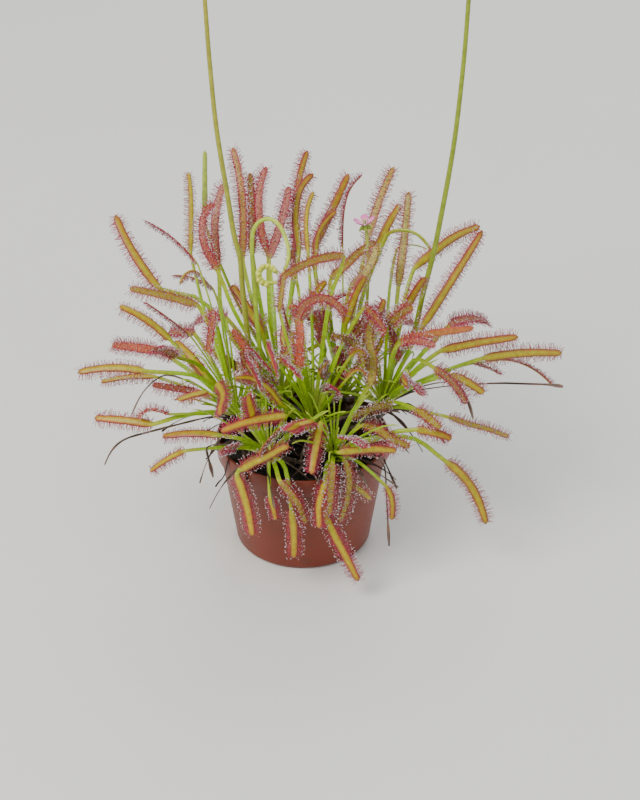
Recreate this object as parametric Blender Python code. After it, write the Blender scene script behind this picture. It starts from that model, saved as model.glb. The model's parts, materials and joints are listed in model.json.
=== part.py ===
"""A clump of Cape sundew in a small plastic nursery pot. Lengths are in millimetres until a mesh is made."""

import math

import bmesh
import bpy
import numpy as np

for old in list(bpy.data.objects):
    bpy.data.objects.remove(old, do_unlink=True)

MM = 0.001
GAP = 0.3
WELDS = (0.01, 0.003)

# Pot: a 9 cm tapered nursery pot
POT_HEIGHT = 62.0
LIP_RADIUS = 45.0
LIP_DEPTH = 10.0
WALL_TOP_RADIUS = 43.2
BASE_RADIUS = 35.5
BASE_ROUNDING = 3.0
WALL = 1.5
POT_SIDES = 36
DRAIN_HOLES = 6
DRAIN_RADIUS = 3.0
DRAIN_SIDES = 6
DRAIN_CIRCLE = 24.0

# Peat
PEAT_LEVEL = 55.0
PEAT_CROWN = 2.0
PEAT_LUMP = 0.7
PEAT_RINGS = 3
PEAT_SIDES = 24

# Crown stems
STEM_SIDES = 6
STEM_FOOT_RADIUS = 3.2
STEM_HEAD_RADIUS = 4.4
STEM_BURIED = 12.0
ROOT_SUNK = 1.5
ATTACH_HIGH = 1.0
ATTACH_LOW = 6.0

# Leaves: half width of petiole and blade, and curl, the power by which a blade turns faster at its tip
LEAF_KINDS = {
    "grown": {"petiole": 1.15, "blade": 2.3, "curl": 1.0, "tentacles": True},
    "hooked": {"petiole": 1.1, "blade": 2.1, "curl": 2.4, "tentacles": True},
    "slim": {"petiole": 0.9, "blade": 1.6, "curl": 1.0, "tentacles": True},
    "young": {"petiole": 0.9, "blade": 1.5, "curl": 1.6, "tentacles": True},
    "bare": {"petiole": 0.9, "blade": 0.9, "curl": 1.0, "tentacles": False},
    "dead": {"petiole": 0.8, "blade": 1.2, "curl": 1.0, "tentacles": False},
}
LEAF_DEPTH = 0.95
CHANNEL = 0.25
TENTACLE = 3.0
TENTACLE_LIFT = 1.1
TENTACLE_FOOT = 0.65
TENTACLE_SPACING = 11.0
BLADE_ARCH = 0.05
PETIOLE_POINTS = 18
BLADE_POINTS = 12
PETIOLE_SEGMENTS = 3
OVER_RIM = 8.0

# Room that each leaf keeps round its middle line
PETIOLE_ROOM = 2.2
BLADE_ROOM = 4.6
SCAPE_ROOM = 2.3
ROOM_ROUNDS = 14
ROOM_STEPS = 8
ROOM_SEARCH = 8.0

# Flower stalks, buds and flower
SCAPE_RADIUS = 1.15
SCAPE_SIDES = 6
RING_TURN = 7.0
RING_APART = 26.0
SCAPE_TAPER = 0.35
BUD_LENGTH = 5.5
BUD_RADIUS = 1.5
BUD_STALK_RADIUS = 0.5
BUD_SUNK = 0.6
BUD_SIDES = 4
PETALS = 5
PETAL_LENGTH = 5.0
PETAL_WIDTH = 4.0
PETAL_THICKNESS = 0.6
PETAL_RISE = 0.55
# The petal from its claw to its rim: share of its length, share of its half width
PETAL_OUTLINE = ((0.0, 0.35), (0.6, 1.0), (1.0, 0.6))
# The ring that carries the petals
PETAL_RING_INNER = 1.25
PETAL_CLAW_RADIUS = 1.6
PETAL_RING_OUTER = 2.1
PETAL_RING_HEIGHT = 0.8
PETAL_RING_SIDES = 10
# The calyx with the ovary on it: height over the stalk's end, radius
CALYX_OUTLINE = ((-1.2, 0.7), (1.5, 1.9), (2.0, 1.9), (2.2, 0.8), (4.2, 0.8))
CALYX_TOP = 2.2
OVARY_TIP = 5.0
CALYX_SIDES = 6
# A sepal: how far out it has come, and its half width there
SEPAL_OUTLINE = ((0.0, 0.7), (1.6, 0.9))
SEPAL_LENGTH = 3.4
SEPAL_THICKNESS = 0.6


def seen(right, up, near):
    """A place as the clump is looked at from the front and 37 degrees above the table.

    It is measured from the middle of the pot's rim: to the right, up the picture and nearer to the eye.
    """
    return np.array((right, 0.6 * up - 0.8 * near, POT_HEIGHT + 0.8 * up + 0.6 * near))


TOWARD_EYE = np.array((0.0, -0.8, 0.6))

# Each rosette: foot of its crown stem in the peat (x, y), and the head that the leaves spread from (x, y, z)
CROWNS = {
    "rosette_left": ((-27, 4), (-34, 3, 74)),
    "rosette_back_left": ((-9, 20), (-12, 20, 72)),
    "rosette_middle": ((3, -4), (5, -4, 72)),
    "rosette_back_right": ((18, 20), (20, 20, 74)),
    "rosette_right": ((30, 0), (42, -2, 84)),
    "rosette_front_left": ((-15, -22), (-18, -26, 70)),
    "rosette_front_right": ((15, -24), (16, -28, 70)),
}

# Each leaf, as seen: a place on its petiole or None, its neck, its tip, how many degrees the blade turns on
# the way (left is positive), which way the tentacled face looks (0 to the eye, 180 away, 90 to the left of
# the way it grows), and its kind
LEAVES = {
    "rosette_left": (
        ((-48, 63, 35), (-72, 70, 42), (-95, 109, 40), -30, 170, "grown"),
        (None, (-54, 86, 20), (-82, 111, 5), 10, 90, "slim"),
        (None, (-59, 95, -4), (-60, 139, -8), 10, 150, "young"),
        (None, (-45, 76, 10), (-63, 76, 18), 140, 90, "young"),
        (None, (-47, 78, -20), (-69, 86, -24), 25, 90, "slim"),
        (None, (-52, 62, 45), (-87, 70, 52), -12, 20, "grown"),
        ((-46, 21, 10), (-68, 47, 20), (-94, 64, 26), 10, 150, "grown"),
        (None, (-59, 51, 5), (-82, 68, 8), -10, 90, "slim"),
        (None, (-48, 37, 45), (-44, 57, 66), 0, 30, "grown"),
        ((-52, 33, 20), (-64, 36, 42), (-74, 37, 74), 0, 20, "grown"),
        ((-54, 28, 22), (-80, 30, 30), (-115, 30, 26), 8, 165, "grown"),
        (None, (-76, 29, 10), (-105, 27, 3), 0, 160, "slim"),
        (None, (-70, 30, 20), (-88, 9, 16), 35, 60, "dead"),
        (None, (-53, 19, 35), (-76, 22, 44), -20, 30, "grown"),
        (None, (-68, 8, 28), (-84, 6, 30), 90, -60, "hooked"),
        (None, (-46, 17, 50), (-62, 12, 66), 0, 160, "grown"),
        ((-62, 8, 24), (-76, 3, 26), (-107, 7, 20), -12, 170, "grown"),
        (None, (-86, -2, 20), (-102, -17, 20), 60, 90, "dead"),
    ),
    "rosette_back_left": (
        (None, (-52, 112, -22), (-52, 154, -26), 0, 150, "young"),
        ((-41, 55, -8), (-44, 88, -6), (-41, 133, -6), -35, 15, "grown"),
        (None, (-46, 82, 12), (-46, 120, 10), -75, 20, "hooked"),
        (None, (-32, 93, -16), (-37, 154, -18), 20, 20, "grown"),
        (None, (-27, 98, -34), (-28, 143, -34), 5, 0, "grown"),
        (None, (-18, 96, -14), (-19, 143, -14), -45, 20, "grown"),
        (None, (-18, 91, 2), (-7, 130, 0), 20, 10, "grown"),
        (None, (-3, 104, -30), (3, 155, -34), -25, 150, "grown"),
        (None, (-2, 95, -6), (6, 138, -8), -60, 160, "hooked"),
    ),
    "rosette_middle": (
        (None, (3, 92, 16), (6, 125, 14), -35, 150, "young"),
        (None, (-12, 58, 46), (-9, 76, 58), 0, 30, "young"),
        (None, (-6, 48, 34), (-11, 78, 40), -30, 90, "slim"),
        (None, (-3, 50, 62), (21, 54, 62), -165, 90, "grown"),
        (None, (-2, 28, 60), (-1, 50, 74), 0, 20, "grown"),
        (None, (-28, 32, 50), (-21, 18, 70), 0, 20, "grown"),
        (None, (-18, 40, 50), (-13, 25, 74), 0, 20, "grown"),
        (None, (-9, 31, 58), (-3, 23, 82), 0, 160, "grown"),
        (None, (24, 36, 44), (32, 36, 48), -130, 90, "young"),
        (None, (22, 24, 50), (32, 25, 54), -130, 90, "young"),
        ((14, 66, 34), (23, 88, 40), (-11, 76, 42), 20, 0, "grown"),
        (None, (-1, 58, 26), (12, 76, 32), 0, 160, "grown"),
        (None, (31, 62, 40), (44, 45, 54), 0, 0, "grown"),
        (None, (-4, 85, -8), (-3, 108, -10), 0, 20, "slim"),
    ),
    "rosette_back_right": (
        (None, (5, 100, -30), (25, 142, -32), 12, 170, "grown"),
        (None, (21, 100, -22), (32, 140, -24), -50, 90, "hooked"),
        (None, (5, 92, -2), (18, 118, -6), -40, 150, "slim"),
        (None, (34, 103, -20), (49, 144, -22), -5, 20, "grown"),
        (None, (36, 89, -8), (52, 122, -10), -8, 160, "grown"),
        (None, (24, 74, 18), (38, 96, 20), 60, 20, "grown"),
        (None, (14, 80, 6), (38, 100, 4), 10, 0, "grown"),
        (None, (22, 54, 26), (32, 78, 34), -10, 160, "grown"),
        (None, (44, 104, 4), (68, 95, 6), -75, 90, "bare"),
    ),
    "rosette_right": (
        (None, (50, 76, 0), (56, 127, 0), 4, 20, "grown"),
        (None, (57, 84, 12), (93, 108, 4), -14, 160, "grown"),
        (None, (60, 51, 26), (93, 103, 22), 12, 160, "grown"),
        (None, (49, 99, -12), (66, 99, -14), -40, 90, "bare"),
        (None, (51, 58, 30), (62, 76, 46), 0, 160, "grown"),
        (None, (43, 52, 36), (55, 59, 60), 0, 20, "grown"),
        (None, (49, 45, 40), (87, 51, 36), 15, 150, "grown"),
        (None, (47, 43, 52), (66, 39, 64), -10, 20, "grown"),
        (None, (70, 40, 30), (111, 48, 20), 12, 170, "grown"),
        ((72, 30, 22), (92, 37, 20), (135, 41, 5), 6, 165, "grown"),
        ((78, 34, 4), (104, 39, -2), (132, 25, -10), -30, 90, "slim"),
        (None, (88, 36, 10), (103, 30, 8), 0, 60, "slim"),
        ((97, 25, 8), (122, 25, 2), (136, 24, 0), 0, 90, "dead"),
        (None, (76, 28, 28), (93, 19, 20), 0, 150, "grown"),
        (None, (78, 26, 20), (87, 5, 18), -40, 60, "dead"),
        ((56, 35, 40), (66, 30, 46), (83, 12, 38), -20, 20, "grown"),
        (None, (54, 23, 44), (58, 14, 72), 0, 20, "grown"),
        (None, (74, 7, 20), (107, -3, 10), 10, 20, "slim"),
        (None, (50, 22, 24), (54, 24, 44), 0, 20, "young"),
        (None, (46, 12, 36), (25, 5, 48), 0, 20, "young"),
        (None, (56, 9, 48), (68, -2, 62), 0, 10, "grown"),
    ),
    "rosette_front_left": (
        ((-30, -6, 44), (-42, -4, 46), (-71, -4, 40), 0, 150, "grown"),
        (None, (-8, 5, 52), (-41, -3, 60), 5, 170, "grown"),
        (None, (-44, 22, 36), (-41, 5, 60), 0, 0, "grown"),
        (None, (-3, 3, 48), (-21, -15, 56), 40, 150, "grown"),
        (None, (-33, -10, 46), (-41, -13, 62), 0, 30, "slim"),
        (None, (-32, -22, 48), (-7, -10, 58), 0, 170, "grown"),
        (None, (-34, -23, 40), (-26, -54, 26), -10, 170, "grown"),
        (None, (-17, -34, 36), (-14, -46, 30), 0, 170, "slim"),
        (None, (-12, -27, 44), (4, -48, 34), 0, 20, "grown"),
        (None, (-6, -41, 32), (-5, -65, 20), -10, 170, "grown"),
        (None, (-60, -10, 22), (-79, -20, 10), 0, 170, "slim"),
        (None, (-50, -8, 28), (-46, -24, 26), 0, 90, "dead"),
    ),
    "rosette_front_right": (
        (None, (12, -26, 44), (5, -49, 36), 0, 160, "grown"),
        (None, (9, -42, 36), (28, -77, 20), 6, 170, "grown"),
        (None, (9, 3, 46), (4, -24, 52), 0, 170, "grown"),
        (None, (15, -18, 49), (13, -44, 45), 0, 20, "grown"),
        (None, (21, -16, 42), (18, -48, 32), -50, 30, "grown"),
        (None, (18, -13, 48), (47, -12, 46), 0, 160, "grown"),
        (None, (30, 2, 36), (54, -10, 38), 0, 30, "grown"),
        ((28, -17, 38), (42, -29, 34), (45, -46, 24), -40, 150, "slim"),
        (None, (42, -17, 28), (44, -59, 14), 0, 60, "dead"),
        ((54, -4, 30), (72, -16, 28), (94, -48, 14), -35, 165, "grown"),
        (None, (57, -1, 42), (75, -6, 44), 0, 165, "grown"),
        (None, (24, -28, 34), (34, -36, 34), 0, 20, "young"),
    ),
}

# Flower stalks, as seen, from the peat to the last bud
SCAPES = {
    "scape_tall_right": (
        (34, -1, -9), (39, 16, 0), (46, 33, 8), (57, 50, 15), (62, 70, 22), (67, 89, 30), (71, 109, 40),
        (75, 131, 50), (78, 152, 60), (81, 182, 75), (83, 212, 90), (85, 232, 100), (90, 246, 104),
        (98, 249, 104), (104, 243, 101),
    ),
    "scape_tall_left": (
        (-22, 1, -12), (-27, 38, 4), (-31, 75, 20), (-32, 89, 27), (-35, 100, 32), (-38, 119, 40),
        (-43, 150, 55), (-46, 182, 70), (-48, 212, 85), (-50, 234, 94), (-56, 246, 98), (-64, 247, 97),
        (-69, 240, 94),
    ),
    "scape_young": (
        (-18, 1, -11), (-22, 40, 2), (-25, 75, 14), (-26, 98, 20), (-24, 106, 22), (-20, 109, 23),
        (-16, 109, 24), (-12, 106, 25), (-9, 100, 26), (-7, 92, 27), (-8, 85, 28), (-11, 80, 30),
        (-14, 78, 31), (-18, 79, 32),
    ),
    "scape_flower": (
        (26, 4, -12), (31, 40, -2), (34, 74, 5), (34, 98, 9), (33, 106, 10),
    ),
}
# How many buds each stalk carries along its last stretch, and the share of its length that they take
BUDS = {
    "scape_tall_right": (7, 0.15),
    "scape_tall_left": (7, 0.15),
    "scape_young": (5, 0.13),
    "scape_flower": (0, 0.0),
}

# Leaves at the back, which rise and then droop behind the clump: headings in degrees (90 straight back)
BACK_LEAVES = {
    "rosette_left": (122, 142),
    "rosette_back_left": (78, 100, 122),
    "rosette_back_right": (52, 76, 98),
    "rosette_right": (56,),
}
BACK_REACH = 86.0
BACK_RISE = 26.0
BACK_SEED = 11


def unit(v):
    return v / np.linalg.norm(v)


def smooth_line(points, count):
    """An even run of points along a smooth curve through the given ones."""
    points = np.array(points, dtype=float)
    ends = np.vstack((2 * points[0] - points[1], points, 2 * points[-1] - points[-2]))
    fine = []
    for i in range(len(points) - 1):
        a, b, c, d = ends[i:i + 4]
        for t in np.linspace(0, 1, 24, endpoint=False):
            fine.append(0.5 * (2 * b + (c - a) * t + (2 * a - 5 * b + 4 * c - d) * t**2
                               + (3 * b - a - 3 * c + d) * t**3))
    fine.append(points[-1])
    fine = np.array(fine)
    run = np.concatenate(((0,), np.cumsum(np.linalg.norm(np.diff(fine, axis=0), axis=1))))
    at = np.linspace(0, run[-1], count)
    return np.column_stack([np.interp(at, run, fine[:, k]) for k in range(3)])


def blade_line(neck, tip, turn, curl):
    """The blade's middle line: it turns steadily, or faster towards the tip where curl is over 1."""
    s = np.linspace(0, 1, 61)
    heading = math.radians(turn) * s**curl
    steps = np.column_stack((np.cos(heading), np.sin(heading)))
    flat = np.vstack(((0, 0), np.cumsum((steps[1:] + steps[:-1]) / 2, axis=0)))
    end = flat[-1]
    ahead = end / np.dot(end, end)
    along = flat @ ahead
    aside = flat @ np.array((-ahead[1], ahead[0]))
    chord = tip - neck
    left = np.cross(TOWARD_EYE, chord)
    left = unit(left) * np.linalg.norm(chord)
    line = neck + np.outer(along, chord) + np.outer(aside, left)
    line[:, 2] += BLADE_ARCH * np.linalg.norm(chord) * np.sin(np.pi * s)
    return smooth_line(line[::6], BLADE_POINTS)


def over_rim(head, neck):
    """Where a petiole that hangs out over the rim passes it."""
    shares = np.linspace(0, 1, 101)
    across = head[None, :2] + shares[:, None] * (neck - head)[None, :2]
    at = across[np.argmin(np.abs(np.hypot(across[:, 0], across[:, 1]) - LIP_RADIUS))]
    return np.array((at[0], at[1], POT_HEIGHT + OVER_RIM))


def petiole_line(head, foot, via, neck, onward):
    """The petiole's middle line, from the crown stem up and out to the neck, where the blade goes on."""
    axis = unit(head - foot)
    if via is None and neck[2] < POT_HEIGHT + OVER_RIM * 0.8:
        via = over_rim(head, neck)
    way = unit((via if via is not None else neck) - head)
    drop = ATTACH_HIGH + (ATTACH_LOW - ATTACH_HIGH) * (1 - max(0.0, way[2]))**2
    root = head - axis * drop
    outward = way - axis * np.dot(way, axis)
    outward = outward / max(0.3, np.linalg.norm(outward))
    start = root + outward * ROOT_SUNK
    reach = np.linalg.norm(neck - start)
    rise = unit(way + 0.7 * axis)
    points = [start, start + rise * reach * 0.22]
    if via is not None:
        points.append(via)
    else:
        points.append(0.42 * start + 0.58 * neck + axis * reach * 0.06 - onward * reach * 0.04)
    points.append(neck)
    return smooth_line(points, PETIOLE_POINTS)


def back_leaves(name, rng):
    """Leaves that rise from the crown and droop behind it, each a little different."""
    head = np.array(CROWNS[name][1], dtype=float)
    for heading in BACK_LEAVES.get(name, ()):
        angle = math.radians(heading + rng.uniform(-6, 6))
        out = np.array((math.cos(angle), math.sin(angle), 0.0))
        reach = BACK_REACH * rng.uniform(0.85, 1.1)
        rise = BACK_RISE * rng.uniform(0.5, 1.0)
        neck = head + out * reach * 0.6 + np.array((0, 0, rise))
        tip = head + out * reach + np.array((0, 0, rise * 0.2))
        yield None, neck, tip, rng.uniform(-20, 20), 0, "grown"


def leaf_lines():
    """Every leaf with its middle line, in the order of its rosette."""
    rng = np.random.default_rng(BACK_SEED)
    leaves = []
    for name, rows in LEAVES.items():
        foot = np.array((*CROWNS[name][0], PEAT_LEVEL))
        head = np.array(CROWNS[name][1], dtype=float)
        placed = [(None if via is None else seen(*via), seen(*neck), seen(*tip), *rest)
                  for via, neck, tip, *rest in rows]
        for via, neck, tip, turn, face, kind in placed + list(back_leaves(name, rng)):
            blade = blade_line(neck, tip, turn, LEAF_KINDS[kind]["curl"])
            petiole = petiole_line(head, foot, via, neck, unit(blade[1] - blade[0]))
            line = np.vstack((petiole, blade[1:]))
            leaves.append({"owner": name, "kind": kind, "face": face, "line": line})
    return leaves


def clear_of_pot(points, room):
    """Lifts what would touch the peat or the rim, and moves what hangs outside the pot off its wall."""
    radius = np.hypot(points[:, 0], points[:, 1])
    rim = POT_HEIGHT + room
    peat = PEAT_LEVEL + PEAT_CROWN + PEAT_LUMP + room
    inside = radius < LIP_RADIUS - WALL - 1.0 - room
    low = inside & (points[:, 2] < peat)
    points[low, 2] = peat[low]
    over = ~inside & (radius < LIP_RADIUS) & (points[:, 2] < rim)
    points[over, 2] = rim[over]
    wall = LIP_RADIUS + room + 0.4
    hanging = (radius >= LIP_RADIUS) & (radius < wall) & (points[:, 2] < rim)
    scale = wall[hanging] / radius[hanging]
    points[hanging, 0] *= scale
    points[hanging, 1] *= scale
    points[:, 2] = np.maximum(points[:, 2], room + 1.0)


def make_room(leaves, fixed):
    """Bends leaves apart bit by bit, until none touches another rosette's leaf, a stem or a stalk."""
    count = len(leaves)
    length = PETIOLE_POINTS + BLADE_POINTS - 1
    share = np.linspace(0, 1, length)
    free = np.clip((share - 0.06) / 0.3, 0, 1)
    room = np.where(np.arange(length) < PETIOLE_POINTS - 1, PETIOLE_ROOM, BLADE_ROOM)
    slim = {"dead": 2.4, "young": 4.0, "slim": 4.2}
    rooms = [np.minimum(room, slim.get(leaf["kind"], BLADE_ROOM)) for leaf in leaves]
    names = list(CROWNS) + list(SCAPES)
    points = np.concatenate([leaf["line"] for leaf in leaves] + [line for _, line, _ in fixed])
    reach = np.concatenate(rooms + [np.full(len(line), r) for _, line, r in fixed])
    moves = np.concatenate([free] * count + [np.zeros(len(line)) for _, line, _ in fixed])
    owner = np.concatenate([np.full(length, names.index(leaf["owner"])) for leaf in leaves]
                           + [np.full(len(line), names.index(name)) for name, line, _ in fixed])
    leaf_no = np.concatenate([np.full(length, i) for i in range(count)]
                             + [np.full(len(line), count + i) for i, (_, line, _) in enumerate(fixed)])
    movable = count * length
    for _ in range(ROOM_ROUNDS):
        square = (points**2).sum(1)
        apart = square[:, None] + square[None, :] - 2 * points @ points.T
        near = apart < (reach[:, None] + reach[None, :] + ROOM_SEARCH)**2
        first, second = np.nonzero(np.triu(near, 1))
        other = leaf_no[first] != leaf_no[second]
        other &= (moves[first] + moves[second]) > 0
        first, second = first[other], second[other]
        same = owner[first] == owner[second]
        both_out = np.minimum(moves[first], moves[second]) > 0.9
        keep = ~same | both_out
        first, second, same = first[keep], second[keep], same[keep]
        wanted = (reach[first] + reach[second]) * np.where(same, 0.55, 1.0)
        weight = moves[first] / (moves[first] + moves[second])
        for _ in range(ROOM_STEPS):
            between = points[first] - points[second]
            distance = np.linalg.norm(between, axis=1) + 1e-6
            short = np.maximum(0, wanted - distance)
            push = between / distance[:, None] * short[:, None]
            field = np.zeros_like(points)
            hits = np.zeros(len(points))
            np.add.at(field, first, push * weight[:, None])
            np.add.at(field, second, -push * (1 - weight)[:, None])
            np.add.at(hits, first, short > 0)
            np.add.at(hits, second, short > 0)
            field /= np.maximum(1, hits * 0.6)[:, None]
            sheet = field[:movable].reshape(count, length, 3)
            for _ in range(3):
                wide = np.pad(sheet, ((0, 0), (1, 1), (0, 0)), mode="edge")
                sheet = 0.3 * wide[:, :-2] + 0.4 * wide[:, 1:-1] + 0.3 * wide[:, 2:]
            sheet *= free[None, :, None]
            points[:movable] += 1.15 * sheet.reshape(-1, 3)
            moving = points[:movable].copy()
            clear_of_pot(moving, reach[:movable] - 0.6)
            points[:movable] += (moving - points[:movable]) * np.minimum(1, moves[:movable] * 2)[:, None]
    for i, leaf in enumerate(leaves):
        leaf["line"] = points[i * length:(i + 1) * length]


def mesh_object(name, vertices, faces, smooth=False):
    """An object from points in millimetres."""
    mesh = bpy.data.meshes.new(name)
    mesh.from_pydata([tuple(v) for v in np.array(vertices) * MM], [], faces)
    mesh.update()
    if smooth:
        mesh.shade_smooth()
    piece = bpy.data.objects.new(name, mesh)
    bpy.context.scene.collection.objects.link(piece)
    return piece


def finish(name, colour, roughness):
    """A plain material for one kind of surface."""
    material = bpy.data.materials.new(name)
    material.use_nodes = True
    shader = material.node_tree.nodes["Principled BSDF"]
    shader.inputs["Base Color"].default_value = (*colour, 1.0)
    shader.inputs["Roughness"].default_value = roughness
    shader.inputs["Metallic"].default_value = 0.0
    return material


def lofted(rings, tip=None):
    """Vertices and faces of a closed body through rings of equal count, ended flat or in the point given."""
    sides = len(rings[0])
    vertices = [v for ring in rings for v in ring]
    faces = [[i for i in range(sides)][::-1]]
    for k in range(len(rings) - 1):
        for i in range(sides):
            a = k * sides + i
            b = k * sides + (i + 1) % sides
            faces.append((a, b, b + sides))
            faces.append((a, b + sides, a + sides))
    last = (len(rings) - 1) * sides
    if tip is None:
        faces.append([last + i for i in range(sides)])
    else:
        vertices.append(tip)
        for i in range(sides):
            faces.append((last + i, last + (i + 1) % sides, len(vertices) - 1))
    return vertices, faces


def leaf_frames(leaf, at):
    """Places on a leaf with the way ahead, the upper face's normal and the side, carried without twist."""
    line = leaf["line"]
    run = np.concatenate(((0,), np.cumsum(np.linalg.norm(np.diff(line, axis=0), axis=1))))
    ahead = np.gradient(line, run, axis=0)
    ahead /= np.linalg.norm(ahead, axis=1)[:, None]
    first = PETIOLE_POINTS - 1
    chord = unit(line[-1] - line[first])
    side = unit(np.cross(TOWARD_EYE, chord))
    angle = math.radians(leaf["face"])
    outer = TOWARD_EYE * math.cos(angle) + side * math.sin(angle) + side * 0.05
    normals = np.zeros_like(line)
    normals[first] = unit(outer - ahead[first] * np.dot(outer, ahead[first]))
    for k in list(range(first + 1, len(line))) + list(range(first - 1, -1, -1)):
        last = normals[k - 1] if k > first else normals[k + 1]
        normals[k] = unit(last - ahead[k] * np.dot(last, ahead[k]))
    out = []
    for where in at:
        place = np.array([np.interp(where, run, line[:, k]) for k in range(3)])
        way = unit(np.array([np.interp(where, run, ahead[:, k]) for k in range(3)]))
        normal = np.array([np.interp(where, run, normals[:, k]) for k in range(3)])
        normal = unit(normal - way * np.dot(normal, way))
        out.append((place, way, normal, np.cross(way, normal)))
    return out


def leaf_sizes(leaf):
    """How far along a leaf its neck is, and its whole length."""
    line = leaf["line"]
    steps = np.linalg.norm(np.diff(line, axis=0), axis=1)
    return steps[:PETIOLE_POINTS - 1].sum(), steps.sum()


def leaf_solid(leaf):
    """One leaf: a strap petiole with a keel, and a channelled blade with tentacles off both edges."""
    kind = LEAF_KINDS[leaf["kind"]]
    neck, length = leaf_sizes(leaf)
    blade = length - neck
    stations = [(neck * k / PETIOLE_SEGMENTS, kind["petiole"], 0.0) for k in range(PETIOLE_SEGMENTS)]
    stations.append((neck, kind["petiole"] * 1.05, 0.0))
    if kind["tentacles"]:
        pairs = max(2, round(blade / TENTACLE_SPACING))
        pitch = blade / (pairs + 0.35)
        for k in range(pairs):
            middle = neck + pitch * (k + 0.65)
            taper = 1.0 - 0.3 * (k / (pairs - 1))**3
            wide = kind["blade"] * taper
            stations.append((middle - TENTACLE_FOOT, wide, 0.0))
            stations.append((middle, wide + TENTACLE, TENTACLE_LIFT))
            stations.append((middle + TENTACLE_FOOT, wide, 0.0))
    else:
        stations.append((neck + blade * 0.25, kind["blade"], 0.0))
        stations.append((neck + blade * 0.6, kind["blade"] * 1.2, 0.0))
    rings = []
    frames = leaf_frames(leaf, [where for where, _, _ in stations])
    for (place, way, normal, side), (_, half, lift) in zip(frames, stations):
        middle = place - normal * CHANNEL
        rings.append((
            place + side * half + normal * lift,
            middle,
            place - side * half + normal * lift,
            middle - normal * LEAF_DEPTH,
        ))
    place, way, normal, side = leaf_frames(leaf, [length])[0]
    tip = place + way * (TENTACLE * 0.6 if kind["tentacles"] else 0.0) + normal * 0.2
    return lofted(rings, tip)


def fuse(name, bodies, base):
    """Joins loose bodies to a base body in one Boolean union, and removes them."""
    loose = bpy.data.collections.new(name + "_loose")
    for i, (vertices, faces) in enumerate(bodies):
        piece = mesh_object(f"{name}_{i}", vertices, faces)
        bpy.context.scene.collection.objects.unlink(piece)
        loose.objects.link(piece)
    union = base.modifiers.new("union", "BOOLEAN")
    union.operation = "UNION"
    union.operand_type = "COLLECTION"
    union.collection = loose
    union.solver = "MANIFOLD"
    bpy.context.view_layer.update()
    joined = bpy.data.meshes.new_from_object(base.evaluated_get(bpy.context.evaluated_depsgraph_get()))
    base.modifiers.clear()
    base.data = joined
    for piece in list(loose.objects):
        bpy.data.objects.remove(piece, do_unlink=True)
    bpy.data.collections.remove(loose)
    keep_main_body(base)


def welded_mesh(mesh):
    """The mesh with its slivers closed up, by the widest weld that leaves it whole."""
    for weld in WELDS:
        work = bmesh.new()
        work.from_mesh(mesh)
        bmesh.ops.remove_doubles(work, verts=work.verts, dist=weld * MM)
        bmesh.ops.dissolve_degenerate(work, edges=work.edges, dist=weld * MM)
        bmesh.ops.triangulate(work, faces=work.faces)
        if all(len(edge.link_faces) == 2 for edge in work.edges):
            return work
        work.free()
    work = bmesh.new()
    work.from_mesh(mesh)
    bmesh.ops.triangulate(work, faces=work.faces)
    return work


def keep_main_body(piece):
    """Fills the pockets that fusing sealed and drops loose scraps: only the largest shell stays."""
    work = welded_mesh(piece.data)
    left = set(work.verts)
    shells = []
    while left:
        shell = set()
        edge = [left.pop()]
        while edge:
            corner = edge.pop()
            shell.add(corner)
            for link in corner.link_edges:
                other = link.other_vert(corner)
                if other in left:
                    left.discard(other)
                    edge.append(other)
        shells.append(shell)
    shells.sort(key=len)
    for shell in shells[:-1]:
        bmesh.ops.delete(work, geom=list(shell), context="VERTS")
    work.to_mesh(piece.data)
    work.free()


def ring_at(place, way, radius, sides, turn=0.0):
    """A ring of points round a place, square to the way."""
    across = np.cross(way, (0.0, 1.0, 0.0) if abs(way[1]) < 0.9 else (1.0, 0.0, 0.0))
    across = unit(across)
    up = np.cross(way, across)
    return [place + radius * (across * math.cos(a) + up * math.sin(a))
            for a in (turn + 2 * math.pi * k / sides for k in range(sides))]


def stem_body(foot, head):
    """A crown stem: upright where it stands in the peat, then leaning to its head."""
    bottom = foot - np.array((0, 0, STEM_BURIED))
    collar = foot + np.array((0, 0, PEAT_CROWN + 2.0))
    up = np.array((0, 0, 1.0))
    way = unit(head - collar)
    rings = [
        ring_at(bottom, up, STEM_FOOT_RADIUS, STEM_SIDES),
        ring_at(collar, up, STEM_FOOT_RADIUS, STEM_SIDES),
        ring_at(head - way * 3.0, way, STEM_HEAD_RADIUS, STEM_SIDES),
        ring_at(head + way * 1.5, way, STEM_HEAD_RADIUS * 0.55, STEM_SIDES),
    ]
    return lofted(rings)


def scape_line(name):
    """A flower stalk's middle line, from its buried foot to its last bud."""
    foot = seen(*SCAPES[name][0])
    buried = np.array((foot[0], foot[1], PEAT_LEVEL - STEM_BURIED))
    collar = np.array((foot[0], foot[1], PEAT_LEVEL + PEAT_CROWN + 1.0))
    route = [buried, collar] + [seen(*p) for p in SCAPES[name][1:]]
    length = sum(np.linalg.norm(b - a) for a, b in zip(route, route[1:]))
    return np.vstack((buried, smooth_line(route[1:], max(12, int(length / 5)))))


def thinned(line):
    """The points of a line that its bends need, with none too far apart."""
    kept = [0]
    for k in range(1, len(line) - 1):
        before = unit(line[kept[-1] + 1] - line[kept[-1]])
        after = unit(line[k + 1] - line[k])
        turn = math.degrees(math.acos(min(1.0, np.dot(before, after))))
        if turn > RING_TURN or np.linalg.norm(line[k] - line[kept[-1]]) > RING_APART:
            kept.append(k)
    return kept + [len(line) - 1]


def bud_body(place, way, size):
    """A pointed bud on its short stalk."""
    rings = [
        ring_at(place - way * BUD_SUNK, way, BUD_STALK_RADIUS, BUD_SIDES),
        ring_at(place + way * size * 0.25, way, BUD_RADIUS * 0.55, BUD_SIDES),
        ring_at(place + way * size * 0.6, way, BUD_RADIUS, BUD_SIDES),
    ]
    return lofted(rings, place + way * size)


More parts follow.
